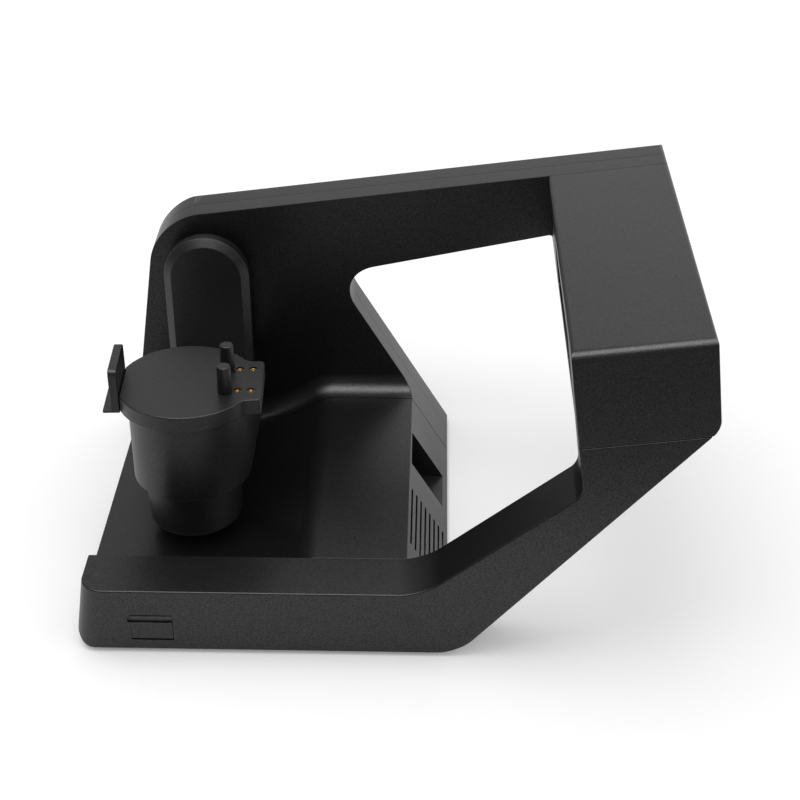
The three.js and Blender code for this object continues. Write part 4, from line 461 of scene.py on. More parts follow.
# %% Solder mask, tinted window and coated lens
def solder_mask():
    """A board under green mask; the copper under it shows as lighter squares about 4 mm apart."""
    material, tree, place = new_finish("green solder mask on glass-fibre board")
    tracks = put(tree, "TexVoronoi", {"Vector": place, "Scale": every(4.0)}, distance="CHEBYCHEV")
    lanes = put(tree, "MapRange", {
        "Value": tracks.outputs["Distance"], "From Min": 0.30, "From Max": 0.34,
    })
    shade = put(tree, "Mix", {
        "Factor": lanes.outputs[0], COLOUR_A: linear("#2a6b48"), COLOUR_B: linear("#174a31"),
    }, data_type="RGBA")
    close_finish(tree, put(tree, "BsdfPrincipled", {
        "Base Color": shade.outputs[COLOUR_OUT], "Roughness": 0.3, "IOR": 1.55,
    }))
    return material


def glassy(name, hex_colour, roughness, coat):
    """Dark glass with a slight haze; the coat gives a lens its bluish second gloss."""
    material, tree, place = new_finish(name)
    haze = put(tree, "TexNoise", {"Vector": place, "Scale": every(8), "Detail": 2.0})
    gloss = put(tree, "MapRange", {
        "Value": haze.outputs[0], "To Min": roughness, "To Max": roughness + 0.03,
    })
    close_finish(tree, put(tree, "BsdfPrincipled", {
        "Base Color": linear(hex_colour), "Roughness": gloss.outputs[0], "IOR": 1.52, "Coat Weight": coat,
        "Coat Tint": linear("#b9c4ff"),
    }))
    return material


board_green = solder_mask()
dark_glass = glassy("tinted flat glass", "#0b0c0e", roughness=0.03, coat=0.0)
lens_glass = glassy("coated lens", "#141c2c", roughness=0.02, coat=1.0)
finishes = {
    "moulded_plastic": housing_abs, "arm_plastic": arm_abs, "connector_plastic": nylon,
    "black_rubber": rubber, "steel": zinc_steel, "dark_metal": black_metal, "aluminium": aluminium,
    "brass": brass, "circuit_board": board_green, "window_glass": dark_glass, "lens_glass": lens_glass,
}
print(len(finishes), "finishes")

# %% Finishes on the carried-over CAD nodes
for row in frame["record"]["subparts"]:
    mesh = frame["nodes"][row["node"]].data
    mesh.materials.clear()
    mesh.materials.append(finishes[row["material_slot"]])
print(len(frame["nodes"]), "CAD nodes have their finish")

# %% [markdown]
# ## Putting a finished piece in its place
# The pieces are modelled in the drawing's millimetres. The head, the arm and the table have axes of
# their own, so a piece may be given that frame. Its place goes into the vertices and the object stays
# at the origin. Shading is smooth, with sharp edges kept by angle, and the Weighted Normal modifier lets
# the large faces stay flat beside their narrow rounds.

# %% Frames and placing
MM, SHARP_DEGREES = 0.001, 32
ORIGIN = Vector((-58.597, -153.0, 3.0))  # the drawing's zero point in the frame, in millimetres
HEAD = Matrix.Translation((head_corner[0], 0, head_corner[1])) @ Matrix.Rotation(math.radians(-TILT), 4, "Y")
ARM = Matrix.Translation((SWING_X, 0, SWING_Z))
COLUMN_Y, PLATFORM_DROP, TABLE_TURN = 124.0, 18.6, 2.5
TABLE = ARM @ Matrix.Translation((0, COLUMN_Y, -PLATFORM_DROP))
TABLE = TABLE @ Matrix.Rotation(math.radians(TABLE_TURN), 4, "Z")
print("head tilted by", TILT, "degrees, table turned by", TABLE_TURN)


def settle(bm, name, body, slot_name, stands_for=(), own_frame=Matrix.Identity(4), finish=None):
    """Moves the mesh to its place, makes the object and lets it ride on its body."""
    place = Matrix.Translation(ORIGIN * MM) @ Matrix.Scale(MM, 4) @ own_frame
    bmesh.ops.transform(bm, matrix=place, verts=bm.verts[:])
    obj = as_object(bm, name)
    mesh = obj.data
    mesh.shade_smooth()
    mesh.set_sharp_from_angle(angle=math.radians(SHARP_DEGREES))
    mesh.materials.append(finish or finishes[slot_name])
    even = obj.modifiers.new("flat faces", "WEIGHTED_NORMAL")
    even.keep_sharp = True
    even.weight = 100
    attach(obj, body)
    if stands_for:
        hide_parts(*stands_for)
    print(name, len(mesh.polygons), "faces")
    return obj


# %% [markdown]
# ## Front frame: rail and strut
# One moulding makes the rail along the front and the strut that carries the head. Its left end is
# rounded in plan as well, so the outline's prism is cut to a second prism seen from above. The edges are
# rounded before the hollow, the doorway of the flap and the grip groove over it are cut.

# %% Rail and strut
EDGE, FINE_EDGE, LEFT_END = 1.1, 0.6, -170.0
strut_end = crossing(strut_out, head_right)[0] + PAST


def under_head(gap, y0, y1):
    """The room under the head, a gap below it, from y0 to y1."""
    ceiling = shifted(head_bottom, -gap)
    return prism([
        (LEFT_END, -PAST, 0), (strut_end, -PAST, 0), crossing(ceiling, line_at(strut_end, 0, 90)),
        crossing(ceiling, line_at(LEFT_END, 0, 90)),
    ], y0, y1)


def rail_plan(gap):
    """The plan of rail and strut, sheared so that its round corner follows the slanted left end."""
    side, back = LEFT_X + gap, RAIL_DEPTH + 2 * PAST
    bm = prism([
        (side, gap, RAIL_PLAN_R - gap), (FAR, gap, 0), (FAR, back, 0), (side, back, 0),
    ], -PAST, head_corner[1], "z")
    lean = Matrix.Identity(4)
    lean[0][2] = left[2] / left[3]
    bmesh.ops.transform(bm, matrix=lean, verts=bm.verts[:])
    return bm


rail = keep(prism(frame_outline, 0, RAIL_DEPTH), under_head(0, -PAST, RAIL_DEPTH + PAST), rail_plan(0))
soften(rail, EDGE, where=lambda p: p.y < RAIL_DEPTH - 0.1)
hollow = keep(
    prism(inset(frame_outline, WALL), WALL, RAIL_DEPTH + PAST),
    under_head(WALL, 0, RAIL_DEPTH + 2 * PAST), rail_plan(WALL),
)
rail = cut(rail, hollow)
print("rail and strut hold", round(rail.calc_volume() / 1000), "cubic centimetres of plastic")

# %% Flap doorway, its ears and the grip groove
FLAP_X, FLAP_WIDTH, FLAP_THICKNESS, FLAP_PIN_Z, FLAP_TOP_Z = -101.8, 28.4, 2.2, 10.9, 27.2
FLAP_GAP, PIN_HOLE_R, PIN_REACH, EAR_WIDTH = 0.4, 1.0, 2.4, 4.9
POST_SPAN, POST_Y, POST_LENGTH, POST_R = 9.5, 18.5, 10.05, 2.5
SLOT_PAST, SLOT_DEPTH, SLOT_HEIGHT, SLOT_SKIN = 2.0, 1.3, 3.4, 0.1
GROOVE_DEPTH, GROOVE_BACK, GROOVE_FRONT = 1.7, 1.95, 3.0
flap_half = FLAP_WIDTH / 2 + FLAP_GAP
barrel = FLAP_THICKNESS + FLAP_GAP
for side in (-1, 1):
    near, far = sorted((FLAP_X + side * flap_half, FLAP_X + side * (flap_half + EAR_WIDTH)))
    ear = box(near, far, WALL / 2, 2 * barrel, FLAP_PIN_Z - barrel, FLAP_PIN_Z + barrel)
    post = rod("z", FLAP_X + side * POST_SPAN, POST_Y, WALL / 2, POST_LENGTH, POST_R, sides=20)
    rail = add(rail, ear, post)
rail = cut(
    rail,
    box(
        FLAP_X - flap_half, FLAP_X + flap_half, -PAST, PAST,
        FLAP_PIN_Z - barrel + HAIR, FLAP_TOP_Z + FLAP_GAP,
    ),
    box(
        FLAP_X - flap_half - SLOT_PAST, FLAP_X, -PAST, SLOT_DEPTH,
        FLAP_TOP_Z - SLOT_HEIGHT, FLAP_TOP_Z - SLOT_SKIN,
    ),
    prism([
        (-PAST, FLAP_TOP_Z, 0), (GROOVE_DEPTH, FLAP_TOP_Z, 0), (GROOVE_DEPTH, FLAP_TOP_Z + GROOVE_BACK, 0),
        (0, FLAP_TOP_Z + GROOVE_FRONT, 0), (-PAST, FLAP_TOP_Z + 2 * GROOVE_FRONT, 0),
    ], FLAP_X - flap_half, FLAP_X + flap_half, "x"),
    rod(
        "x", FLAP_THICKNESS, FLAP_PIN_Z, FLAP_X - flap_half - PIN_REACH, 2 * flap_half + 2 * PIN_REACH,
        PIN_HOLE_R, sides=20,
    ),
)
settle(rail, "rail_and_strut", "base", "moulded_plastic", ["front_frame"])

# %% [markdown]
# ## Base housing
# The base is a low tray: a floor under the arm, a ramp that keeps one distance from the swing axis, and
# a plateau level with the rail. It is hollow, with a pocket for the sockets and eight air slits in the
# slanted side. The same prism, bevels and Booleans make it.

# %% Base shell with pocket and slits
base = prism(base_outline, BASE_FRONT, BASE_BACK)
soften(base, FINE_EDGE, segments=2, where=lambda p: p.z > 1)
block_spots = [(-128, 55.5), (-15, 55.5), (-128, 237.6), (-15, 237.6)]
base = cut(base, prism(inset(base_outline, WALL), BASE_FRONT + WALL, BASE_BACK - WALL))
RECESS_X, RECESS_Z, RECESS_Y, RECESS_LENGTH = 74.4, 7.8, 162.5, 42.0
recess_end = RECESS_Y + RECESS_LENGTH
bay_top = crossing(slant, line_at(RECESS_X, 0, 90))[1]
liner = keep(
    box(RECESS_X - WALL, 200, RECESS_Y - WALL, recess_end + WALL, RECESS_Z - WALL, bay_top + WALL),
    prism(inset(base_outline, WALL / 2), BASE_FRONT, BASE_BACK),
)
base = add(base, liner)
PLATE_LEFT, PLATE_RIGHT, INLET_HALF, SOCKET_HALF_Y, SOCKET_HALF_Z = -143.0, 88.3, 5.8, 5.0, 2.1
inlet_y, socket_y, socket_z = RECESS_Y + RECESS_LENGTH / 4, RECESS_Y + 3 * RECESS_LENGTH / 4, RECESS_Z + 11


def socket_hole(y, half_y, half_z):
    """An opening in the recess's inner wall."""
    return box(
        RECESS_X - PAST, RECESS_X + WALL, y - half_y, y + half_y, socket_z - half_z, socket_z + half_z,
    )


base = cut(
    base,
    prism(rectangle(RECESS_X, FAR, RECESS_Z, FAR), RECESS_Y, recess_end),
    box(PLATE_LEFT, PLATE_RIGHT, BASE_FRONT + WALL, BASE_BACK - WALL, -PAST, WALL + FIT),
    socket_hole(inlet_y, INLET_HALF, INLET_HALF), socket_hole(socket_y, SOCKET_HALF_Y, SOCKET_HALF_Z),
)
SLITS, SLIT_X, SLIT_PITCH, SLIT_HALF, SLIT_FROM, SLIT_TO, SLIT_DROP = 8, 75.8, 3.3, 0.6, 63.4, 130.7, 7.5
for i in range(SLITS):
    x = SLIT_X + i * SLIT_PITCH
    z = crossing(slant, line_at(x, 0, 90))[1]
    low = max(z - SLIT_DROP, WALL + FIT + 0.1)
    base = cut(base, box(x - SLIT_HALF, x + SLIT_HALF, SLIT_FROM, SLIT_TO, low, z + PAST))
settle(base, "base_shell", "base", "moulded_plastic", ["base_housing"])

# %% [markdown]
# ## Front shell of the wall, with its cove
# The wall's front face runs down into the base with a hollow round, the cove. Bevelling the inner
# corner would do on a straight base, but this one rises over a ramp. So the shell starts as a full
# prism, and what stands in front of the wall is cut away by a tool that follows the base's top. The
# tool's outline shrinks from section to section along a quarter circle, which leaves the cove.

# %% Cutting tool for the cove
COVE_STEPS = 12
ramp_up = [(x, z, r) for x, z, r in reversed(ramp)]
room = [(-FAR, FLOOR_Z, 0), *ramp_up, (FAR, RAIL_HEIGHT, 0), (FAR, FAR, 0), (-FAR, FAR, 0)]


def cove_tool():
    """The room in front of the wall, over the cove."""
    bm = bmesh.new()
    loops = [rounded_face(bm, room, "y", COVE_TOE - 20)]
    for k in range(COVE_STEPS + 1):
        angle = math.pi / 2 * k / COVE_STEPS
        rise = COVE_R * (1 - math.cos(angle))
        loops.append(rounded_face(bm, inset(room, rise), "y", COVE_TOE + COVE_R * math.sin(angle)))
    bmesh.ops.delete(bm, geom=bm.faces[:], context="FACES_ONLY")
    for near, far in zip(loops, loops[1:]):
        bmesh.ops.bridge_loops(bm, edges=near + far)
    bmesh.ops.contextual_create(bm, geom=loops[0])
    bmesh.ops.contextual_create(bm, geom=loops[-1])
    bmesh.ops.recalc_face_normals(bm, faces=bm.faces[:])
    return bm


cove_cutter = cove_tool()
print("cove tool:", len(cove_cutter.faces), "faces")

# %% Front shell
AXLE_HOLE_R, AXLE_HOLE_FROM, AXLE_HOLE_LENGTH = 7.25, 240.0, 40.0
wall = cut(prism(wall_outline, COVE_TOE, SHELL_SEAM - SEAM / 2), cove_cutter)
soften(wall, FINE_EDGE, segments=2, where=lambda p: COVE_TOE + 0.3 < p.y < WALL_FRONT + 0.05, clamp=True)
wall = cut(
    wall,
    prism(inset(wall_outline, WALL), WALL_FRONT + WALL, SHELL_SEAM + PAST),
    prism(inset(base_outline, WALL + HAIR), COVE_TOE + WALL, WALL_FRONT + WALL + PAST),
    rod("y", SWING_X, SWING_Z, AXLE_HOLE_FROM, AXLE_HOLE_LENGTH, AXLE_HOLE_R),
)
settle(wall, "wall_front", "base", "moulded_plastic", ["wall_front_shell"])

# %% [markdown]
# ## Rear shell of the wall
# The rear shell closes the wall. Its outer edge has a larger round, about 4 mm, which is what the
# skyline of the wall shows. Four screws sit in counterbores, and a rocker switch is let in low down.

# %% Rear shell
BACK_EDGE_R, BACK_ROUND, SEAM_ROUND = 4.0, 0.9, 0.4
back = prism(wall_outline, SHELL_SEAM + SEAM / 2, DEPTH)
soften(back, BACK_ROUND, segments=3, where=lambda p: p.y > DEPTH - 0.05, clamp=True)
soften(back, SEAM_ROUND, segments=2, where=lambda p: p.y < SHELL_SEAM + 1, clamp=True)
skyline = prism([
    (SHELL_SEAM - PAST, -FAR, 0), (DEPTH, -FAR, 0), (DEPTH, 0, BACK_EDGE_R), (SHELL_SEAM - PAST, 0, 0),
], -FAR, FAR, "x")
bmesh.ops.rotate(skyline, matrix=Matrix.Rotation(math.radians(-TILT), 3, "Y"), verts=skyline.verts[:])
bmesh.ops.translate(skyline, vec=(0, 0, TOP_Z), verts=skyline.verts[:])
back = keep(back, skyline)
back = cut(back, prism(inset(wall_outline, WALL), SHELL_SEAM - PAST, DEPTH - WALL))
rear_screws = [(-113, 5.25), (58.3, 5.25), (-15.5, 187.7), (250.1, 217.7)]
SEAT_Y, BOSS_R, SCREW_HOLE_R, COUNTERBORE_R = SHELL_SEAM + SEAM / 2, 4.0, 1.65, 2.95
for x, z in rear_screws:
    back = add(back, rod("y", x, z, SEAT_Y, DEPTH - WALL / 2 - SEAT_Y, BOSS_R, sides=32))
    back = cut(
        back, rod("y", x, z, SEAT_Y - PAST, 2 * PAST, SCREW_HOLE_R, sides=24),
        rod("y", x, z, SEAT_Y + WALL, 30, COUNTERBORE_R, sides=32),
    )
SWITCH_X, SWITCH_Z, BEZEL_DEPTH, SWITCH_DEPTH = -60.0, 60.0, 1.2, 8.0


def switch_hole(half_x, half_z, start, end):
    """An opening round the middle of the switch."""
    return box(SWITCH_X - half_x, SWITCH_X + half_x, start, end, SWITCH_Z - half_z, SWITCH_Z + half_z)


bezel_seat = switch_hole(7.8, 10.8, DEPTH - BEZEL_DEPTH, DEPTH + PAST)
back = cut(back, bezel_seat, switch_hole(6.6, 9.6, DEPTH - SWITCH_DEPTH, DEPTH))
settle(back, "wall_back", "base", "moulded_plastic", ["wall_rear_shell"])

# %% [markdown]
# ## Head
# The head is a long box on its own tilted axes, open below and closed by a flat cover. Its top folds
# over the front edge with a 7 mm round. A slot in its left side, towards the platform, shows the dark
# glass of the optics. It is built in the head's axes, with x across, and z zero on the top face.

# %% Head cover
HEAD_END = WALL_FRONT - SEAM
head_floor = -HEAD_HEIGHT + SEAM
OPTICS_HALF, OPTICS_LOW, OPTICS_HIGH = 79.0, -58.0, -14.0
LID_BOSS_HEIGHT, LID_RIB_HEIGHT, LID_HOLE_LENGTH = 6.0, 6.1, 16.5


def in_head(line, degrees):
    """A line of the front view, in the head's own axes."""
    dx, dz, t = line[0] - head_corner[0], line[1] - head_corner[1], math.radians(TILT)
    return line_at(dx * math.cos(t) + dz * math.sin(t), dz * math.cos(t) - dx * math.sin(t), degrees - TILT)


def head_outline(low):
    """The head's section, down to a given height."""
    strut, side = in_head(strut_out, STRUT_ANGLE), line_at(HEAD_WIDTH, 0, 90)
    return [
        (0, low, 0), crossing(strut, line_at(0, low, 0)), crossing(strut, side, STRUT_TOP_R),
        (HEAD_WIDTH, 0, SMALL_R), (0, 0, SMALL_R),
    ]


head = prism(head_outline(head_floor), 0, HEAD_END)
soften(head, EDGE, where=lambda p: p.y < 0.05)


def folded(gap):
    """The room under the folded front edge, a gap inside it."""
    return prism([
        (gap - 1, -FAR, 0), (DEPTH, -FAR, 0), (DEPTH, -gap, 0),
        (gap, -gap, HEAD_FOLD_R - gap), (gap, -FAR / 2, 0),
    ], -FAR, FAR, "x")


head = keep(head, folded(0))
cavity = prism(inset(head_outline(-HEAD_HEIGHT - 2 * PAST), WALL), WALL, HEAD_END + PAST)
head = cut(head, keep(cavity, folded(WALL)))
slot = rectangle(COLUMN_Y - OPTICS_HALF, COLUMN_Y + OPTICS_HALF, OPTICS_LOW, OPTICS_HIGH, SMALL_R)
head = cut(head, prism(slot, -PAST, PAST, "x"))
lid_screws = [(5.25, 44.5), (78.4, 44.5), (5.25, 259.2), (78.4, 259.2)]
lid_top = head_floor + WALL + FIT
for x, y in lid_screws:
    near, far = (0, x) if x < HEAD_WIDTH / 2 else (x, HEAD_WIDTH)
    boss = add(
        rod("z", x, y, lid_top, LID_BOSS_HEIGHT, BOSS_R, sides=32),
        box(near, far, y - WALL / 2, y + WALL / 2, lid_top, lid_top + LID_RIB_HEIGHT),
    )
    head = add(head, keep(boss, prism(inset(head_outline(head_floor), WALL / 2), 1, HEAD_END - 1)))
    head = cut(head, rod("z", x, y, head_floor - PAST, LID_HOLE_LENGTH, SCREW_HOLE_R, sides=24))
settle(head, "head_shell", "base", "moulded_plastic", ["head_cover"], HEAD)

# %% [markdown]
# ## Swing arm
# The arm's cover is a tall tablet with a wide chamfer round its face. Insetting the face while moving it
# forward gives that chamfer in one step, with even mitres. Below it a housing leads forward to a round
# column, and the cup under the column holds the table's motor.

# %% Arm cover
ARM_R, ARM_GAP, ARM_THICKNESS, NEARLY_HALF = 33.0, 11.5, 12.8, 0.9999
ARM_BACK = WALL_FRONT - ARM_GAP
ARM_FRONT = ARM_BACK - ARM_THICKNESS
CHAMFER, CHAMFER_DEPTH, CHAMFER_ROUND, BASE_DROP = 5.8, 4.5, 0.35, 94.0


def tablet(r, drop, low_r):
    """An upright tablet; its two top rounds nearly meet, which makes a half circle."""
    top_r = r * NEARLY_HALF
    return [(-r, -drop, low_r), (r, -drop, low_r), (r, r, top_r), (-r, r, top_r)]


arm_cover = prism(tablet(ARM_R, BASE_DROP, 3), ARM_FRONT + CHAMFER_DEPTH, ARM_BACK)
face = min(arm_cover.faces, key=lambda f: f.calc_center_median().y)
bmesh.ops.inset_region(arm_cover, faces=[face], thickness=CHAMFER, depth=CHAMFER_DEPTH, use_even_offset=True)
chamfer_end = ARM_FRONT + CHAMFER_DEPTH + 0.1
soften(arm_cover, CHAMFER_ROUND, segments=2, degrees=25, where=lambda p: p.y < chamfer_end)
hollow = prism(tablet(ARM_R - WALL - 1.5, BASE_DROP - WALL, 1), ARM_FRONT + WALL + 2.2, ARM_BACK + PAST)
arm_cover = cut(arm_cover, hollow)
settle(arm_cover, "arm_tablet", "arm", "arm_plastic", ["arm_cover"], ARM)

# %% Column housing
COLUMN_R, TOP_DROP, STRAIGHT, ROOF, BRIDGE_HEIGHT = 43.0, 33.0, COLUMN_Y + 71, 26.0, 16.0
COLUMN_ROUND, SHAFT_HOLE_R, MOTOR_HOLE_R = 0.9, 11.45, 29.0


def join_flats(bm):
    """Joins faces that lie in one plane after a Boolean, so that a bevel runs along them unbroken."""
    bmesh.ops.dissolve_limit(bm, angle_limit=math.radians(0.5), verts=bm.verts[:], edges=bm.edges[:])


def column_body(gap):
    """The drum of the column with the housing that leads to it, all a gap inside their faces."""
    r, low, high = COLUMN_R - gap, -BASE_DROP + gap, -TOP_DROP - gap
    bridge = ARM_FRONT - SEAM - gap
    drum = rod("z", 0, COLUMN_Y, low, high - low, r, sides=96)
    plan = prism([
        (-r, COLUMN_Y, 0), (r, COLUMN_Y, 0), (r, STRAIGHT, 0), (ARM_R - gap, bridge, 0),
        (-ARM_R + gap, bridge, 0), (-r, STRAIGHT, 0),
    ], low, high, "z")
    side = prism([
        (COLUMN_Y, low, 0), (bridge, low, 0), (bridge, -BASE_DROP + BRIDGE_HEIGHT - gap, 0),
        (COLUMN_Y + ROOF, high, 0),
        (COLUMN_Y, high, 0),
    ], -COLUMN_R, COLUMN_R, "x")
    return add(drum, keep(plan, side))


column = column_body(0)
join_flats(column)
soften(column, COLUMN_ROUND, degrees=50)
column = cut(
    column, column_body(WALL), rod("z", 0, COLUMN_Y, -TOP_DROP - PAST, 2 * PAST, SHAFT_HOLE_R),
    rod("z", 0, COLUMN_Y, -BASE_DROP - PAST, 2 * PAST, MOTOR_HOLE_R, sides=64),
)
settle(column, "column_shell", "arm", "arm_plastic", ["column_housing"], ARM)

# %% [markdown]
# ## Motor cup
# The cup is turned about the table's axis, so its half section is spun. The wall flares a little to the
# top and the foot is round. Spinning keeps the inner and outer walls concentric.

# %% Cup by spinning its section
CUP_R, CUP_TOP_R, CUP_HEIGHT, CUP_EDGE = 34.0, 36.0, 39.0, 4.0
cup_low = -BASE_DROP - SEAM - CUP_HEIGHT


def spun(section, x, y, z, steps=72):
    """Spins an open half section, given as radius and height, about the vertical line at x, y."""
    bm = bmesh.new()
    verts = [bm.verts.new((x + r, y, z + h)) for r, h in section]
    edges = [bm.edges.new(pair) for pair in zip(verts, verts[1:])]
    bmesh.ops.spin(
        bm, geom=verts + edges, cent=(x, y, z), axis=(0, 0, 1), angle=math.tau, steps=steps, use_merge=True,
    )
    bmesh.ops.remove_doubles(bm, verts=bm.verts[:], dist=0.001)
    bmesh.ops.recalc_face_normals(bm, faces=bm.faces[:])
    return bm


def quarter(r, h, radius, start, end, steps=6):
    """Points of a round between two angles in degrees, for a section."""
    angles = [math.radians(start + (end - start) * k / steps) for k in range(steps + 1)]
    return [(r + radius * math.cos(a), h + radius * math.sin(a)) for a in angles]


cup_inner = CUP_R - WALL
cup_section = [(0, 0), *quarter(CUP_R - CUP_EDGE, CUP_EDGE, CUP_EDGE, -90, 0), (CUP_TOP_R, CUP_HEIGHT - 0.6),
               (CUP_TOP_R - 0.6, CUP_HEIGHT), (CUP_TOP_R - WALL, CUP_HEIGHT), (cup_inner, WALL + 2),
               (cup_inner - 2, WALL), (0, WALL)]
settle(spun(cup_section, 0, COLUMN_Y, cup_low), "motor_cup_shell", "arm", "arm_plastic", ["motor_cup"], ARM)

# %% [markdown]
# ## Turning platform, pins and jaw
# A round plate with a broad tongue on one side turns in front of the optics. The tongue flows into the
# disc with a hollow round. Two slightly tapered pins and four brass threaded inserts sit near the
# tongue, and opposite them slides a clamp jaw with a lip along its foot.

# %% Platform
PLATE_R, PLATE_THICKNESS, TONGUE, TONGUE_HALF = 50.0, 12.4, 54.4, 27.0
JAW_X, JAW_HALF, GUIDE_Y, GUIDE_Z, GUIDE_R = -46.0, 20.5, 17.0, -5.0, 2.0
# A round of this centre and radius touches both the disc and the tongue's side.
NOOK_X, NOOK_Y, NOOK_R, NOOK_START, NOOK_END = 46.73, 35.98, 9.0, 270, 218
HUB_R, HUB_DROP, HUB_HEIGHT, BORE_R, INSERT_HOLE_R, PIN_SEAT_R = 11.0, 3.3, 3.6, 4.15, 2.9, 3.15
plate = rod("z", 0, 0, -PLATE_THICKNESS, PLATE_THICKNESS, PLATE_R, sides=120)
plate = add(plate, prism(rectangle(0, TONGUE, -TONGUE_HALF, TONGUE_HALF, 3), -PLATE_THICKNESS, 0, "z"))
for side in (-1, 1):
    nook = [(x, side * y, 0) for x, y in quarter(NOOK_X, NOOK_Y, NOOK_R, NOOK_START, NOOK_END)]
    hidden = [(38, side * 26, 0), (46, side * 22, 0)]
    plate = add(plate, prism([*nook, *hidden], -PLATE_THICKNESS, 0, "z"))
join_flats(plate)
plate = cut(plate, box(-FAR, JAW_X + FIT, -FAR, FAR, -30, 30))
soften(plate, 0.8, degrees=50)
plate = add(plate, rod("z", 0, 0, -PLATE_THICKNESS - HUB_DROP, HUB_HEIGHT, HUB_R))
insert_spots = [(x, 1.2 + side * 14.65) for x in (37.4, 46.8) for side in (-1, 1)]
pin_spots = [(28.6, -14.8), (28.6, 14.8)]
for x, y in insert_spots:
    plate = cut(plate, rod("z", x, y, -8.3, 12, INSERT_HOLE_R, sides=32))
for x, y in pin_spots:
    plate = cut(plate, rod("z", x, y, -6.3, 10, PIN_SEAT_R, sides=32))
for side in (-1, 1):
    plate = cut(plate, rod("x", side * GUIDE_Y, GUIDE_Z, JAW_X - PAST, 43.3, GUIDE_R + FIT, sides=24))
plate = cut(plate, rod("z", 0, 0, -24, 16, BORE_R, sides=32))
settle(plate, "turning_plate", "table", "arm_plastic", ["platform"], TABLE)

# %% Pins and brass inserts
pin_section = [
    (0, -6), (3, -6), (3, 0.3), (5.3, 0.3), (4.85, 20.3), *quarter(4.0, 20.2, 0.8, 0, 90, 4), (0, 21),
]
for name, (x, y) in zip(("front_pin", "rear_pin"), pin_spots):
    settle(spun(pin_section, x, y, 0, 40), name + "_turned", "table", "arm_plastic", [name], TABLE)
THREAD_TURNS = 6
insert_section = [(1.6, -8), (2.8, -8), (2.8, -1.3), (2.5, -1.0), (1.9, -1.0), (1.6, -1.3)]
for turn in range(THREAD_TURNS):
    insert_section += [(1.6, -2.0 - turn), (1.25, -2.4 - turn)]
insert_section += [(1.6, -8)]
for i, (x, y) in enumerate(insert_spots):
    settle(spun(insert_section, x, y, 0, 32), f"brass_insert_{i + 1}", "table", "brass", (), TABLE)

# %% Sliding jaw
JAW_LOW, JAW_TOP, JAW_THICKNESS, JAW_R = -13.7, 20.6, 6.1, 4.0
LIP_REACH, LIP_TOP, GUIDE_LENGTH = 12.1, -11.2, 38.0
jaw = prism([
    (-JAW_HALF, JAW_LOW, 0), (JAW_HALF, JAW_LOW, 0), (JAW_HALF, JAW_TOP, JAW_R), (-JAW_HALF, JAW_TOP, JAW_R),
], JAW_X - JAW_THICKNESS, JAW_X, "x")
jaw = add(jaw, box(JAW_X - LIP_REACH, JAW_X - 3, -JAW_HALF, JAW_HALF, JAW_LOW, LIP_TOP))
join_flats(jaw)
soften(jaw, FINE_EDGE, degrees=50)
for side in (-1, 1):
    jaw = add(jaw, rod("x", side * GUIDE_Y, GUIDE_Z, JAW_X - 3.6, GUIDE_LENGTH, GUIDE_R, sides=24))
settle(jaw, "jaw_with_rods", "jaw", "arm_plastic", ["clamp_jaw"], TABLE)

# %% [markdown]
# ## Flap
# The flap in the rail hides a service port. It is a thin leaf on a hinge barrel, flush with the rail's
# face and a hair's width from its doorway. A finger pull runs along its top: a bevelled lip that
# catches the light, and a dark slot under it. Its side section is short, so it is drawn as an outline.

# %% Flap leaf and barrel
LEAF_LEFT, LEAF_RIGHT, BARREL_LEFT, PULL_DEPTH = -14.42, 14.25, -14.3, 1.2
LIP_BACK, LIP_HIGH, LIP_LOW = 0.8, 1.7, 0.3
leaf_top = FLAP_TOP_Z - FLAP_PIN_Z
# The first four corners follow a round about the pin, so that the foot clears the rail as it turns.
leaf = prism([
    (-FLAP_THICKNESS, -1.15, 0), (-1.9, -1.58, 0), (-1.5, -1.97, 0), (-0.9, -2.3, 0), (0, -2.3, 0),
    (0, leaf_top, 0), (-LIP_BACK, leaf_top, 0), (-LIP_BACK, leaf_top + LIP_HIGH, 0),
    (-FLAP_THICKNESS, leaf_top + LIP_LOW, 0),
], LEAF_LEFT, LEAF_RIGHT, "x")
leaf = cut(leaf, box(
    -15, 15, -FLAP_THICKNESS - 1, -FLAP_THICKNESS + PULL_DEPTH, leaf_top - SLOT_HEIGHT, leaf_top + SLOT_SKIN,
))
leaf = add(leaf, rod("x", 0, 0, BARREL_LEFT, FLAP_WIDTH, FLAP_THICKNESS - 0.03, sides=32))
leaf = cut(leaf, rod("x", 0, 0, -20, 40, PIN_HOLE_R, sides=20))
flap_frame = Matrix.Translation((FLAP_X, FLAP_THICKNESS, FLAP_PIN_Z))
settle(leaf, "flap_leaf", "flap", "moulded_plastic", ["port_flap"], flap_frame)

# %% [markdown]
# ## Screws
# Small machine screws with a hexagon socket hold the base plate, the head's cover and the rear shell.
# A hexagon and a circle bridged together give the head's face; extruding the hexagon inwards makes the
# socket and extruding the rim makes the head.

# %% Screws with hexagon sockets
SCREW_HEAD_R, SHANK_R, SOCKET_R, SOCKET_DEPTH, RIM = 2.6, 1.35, 1.25, 1.1, 0.25


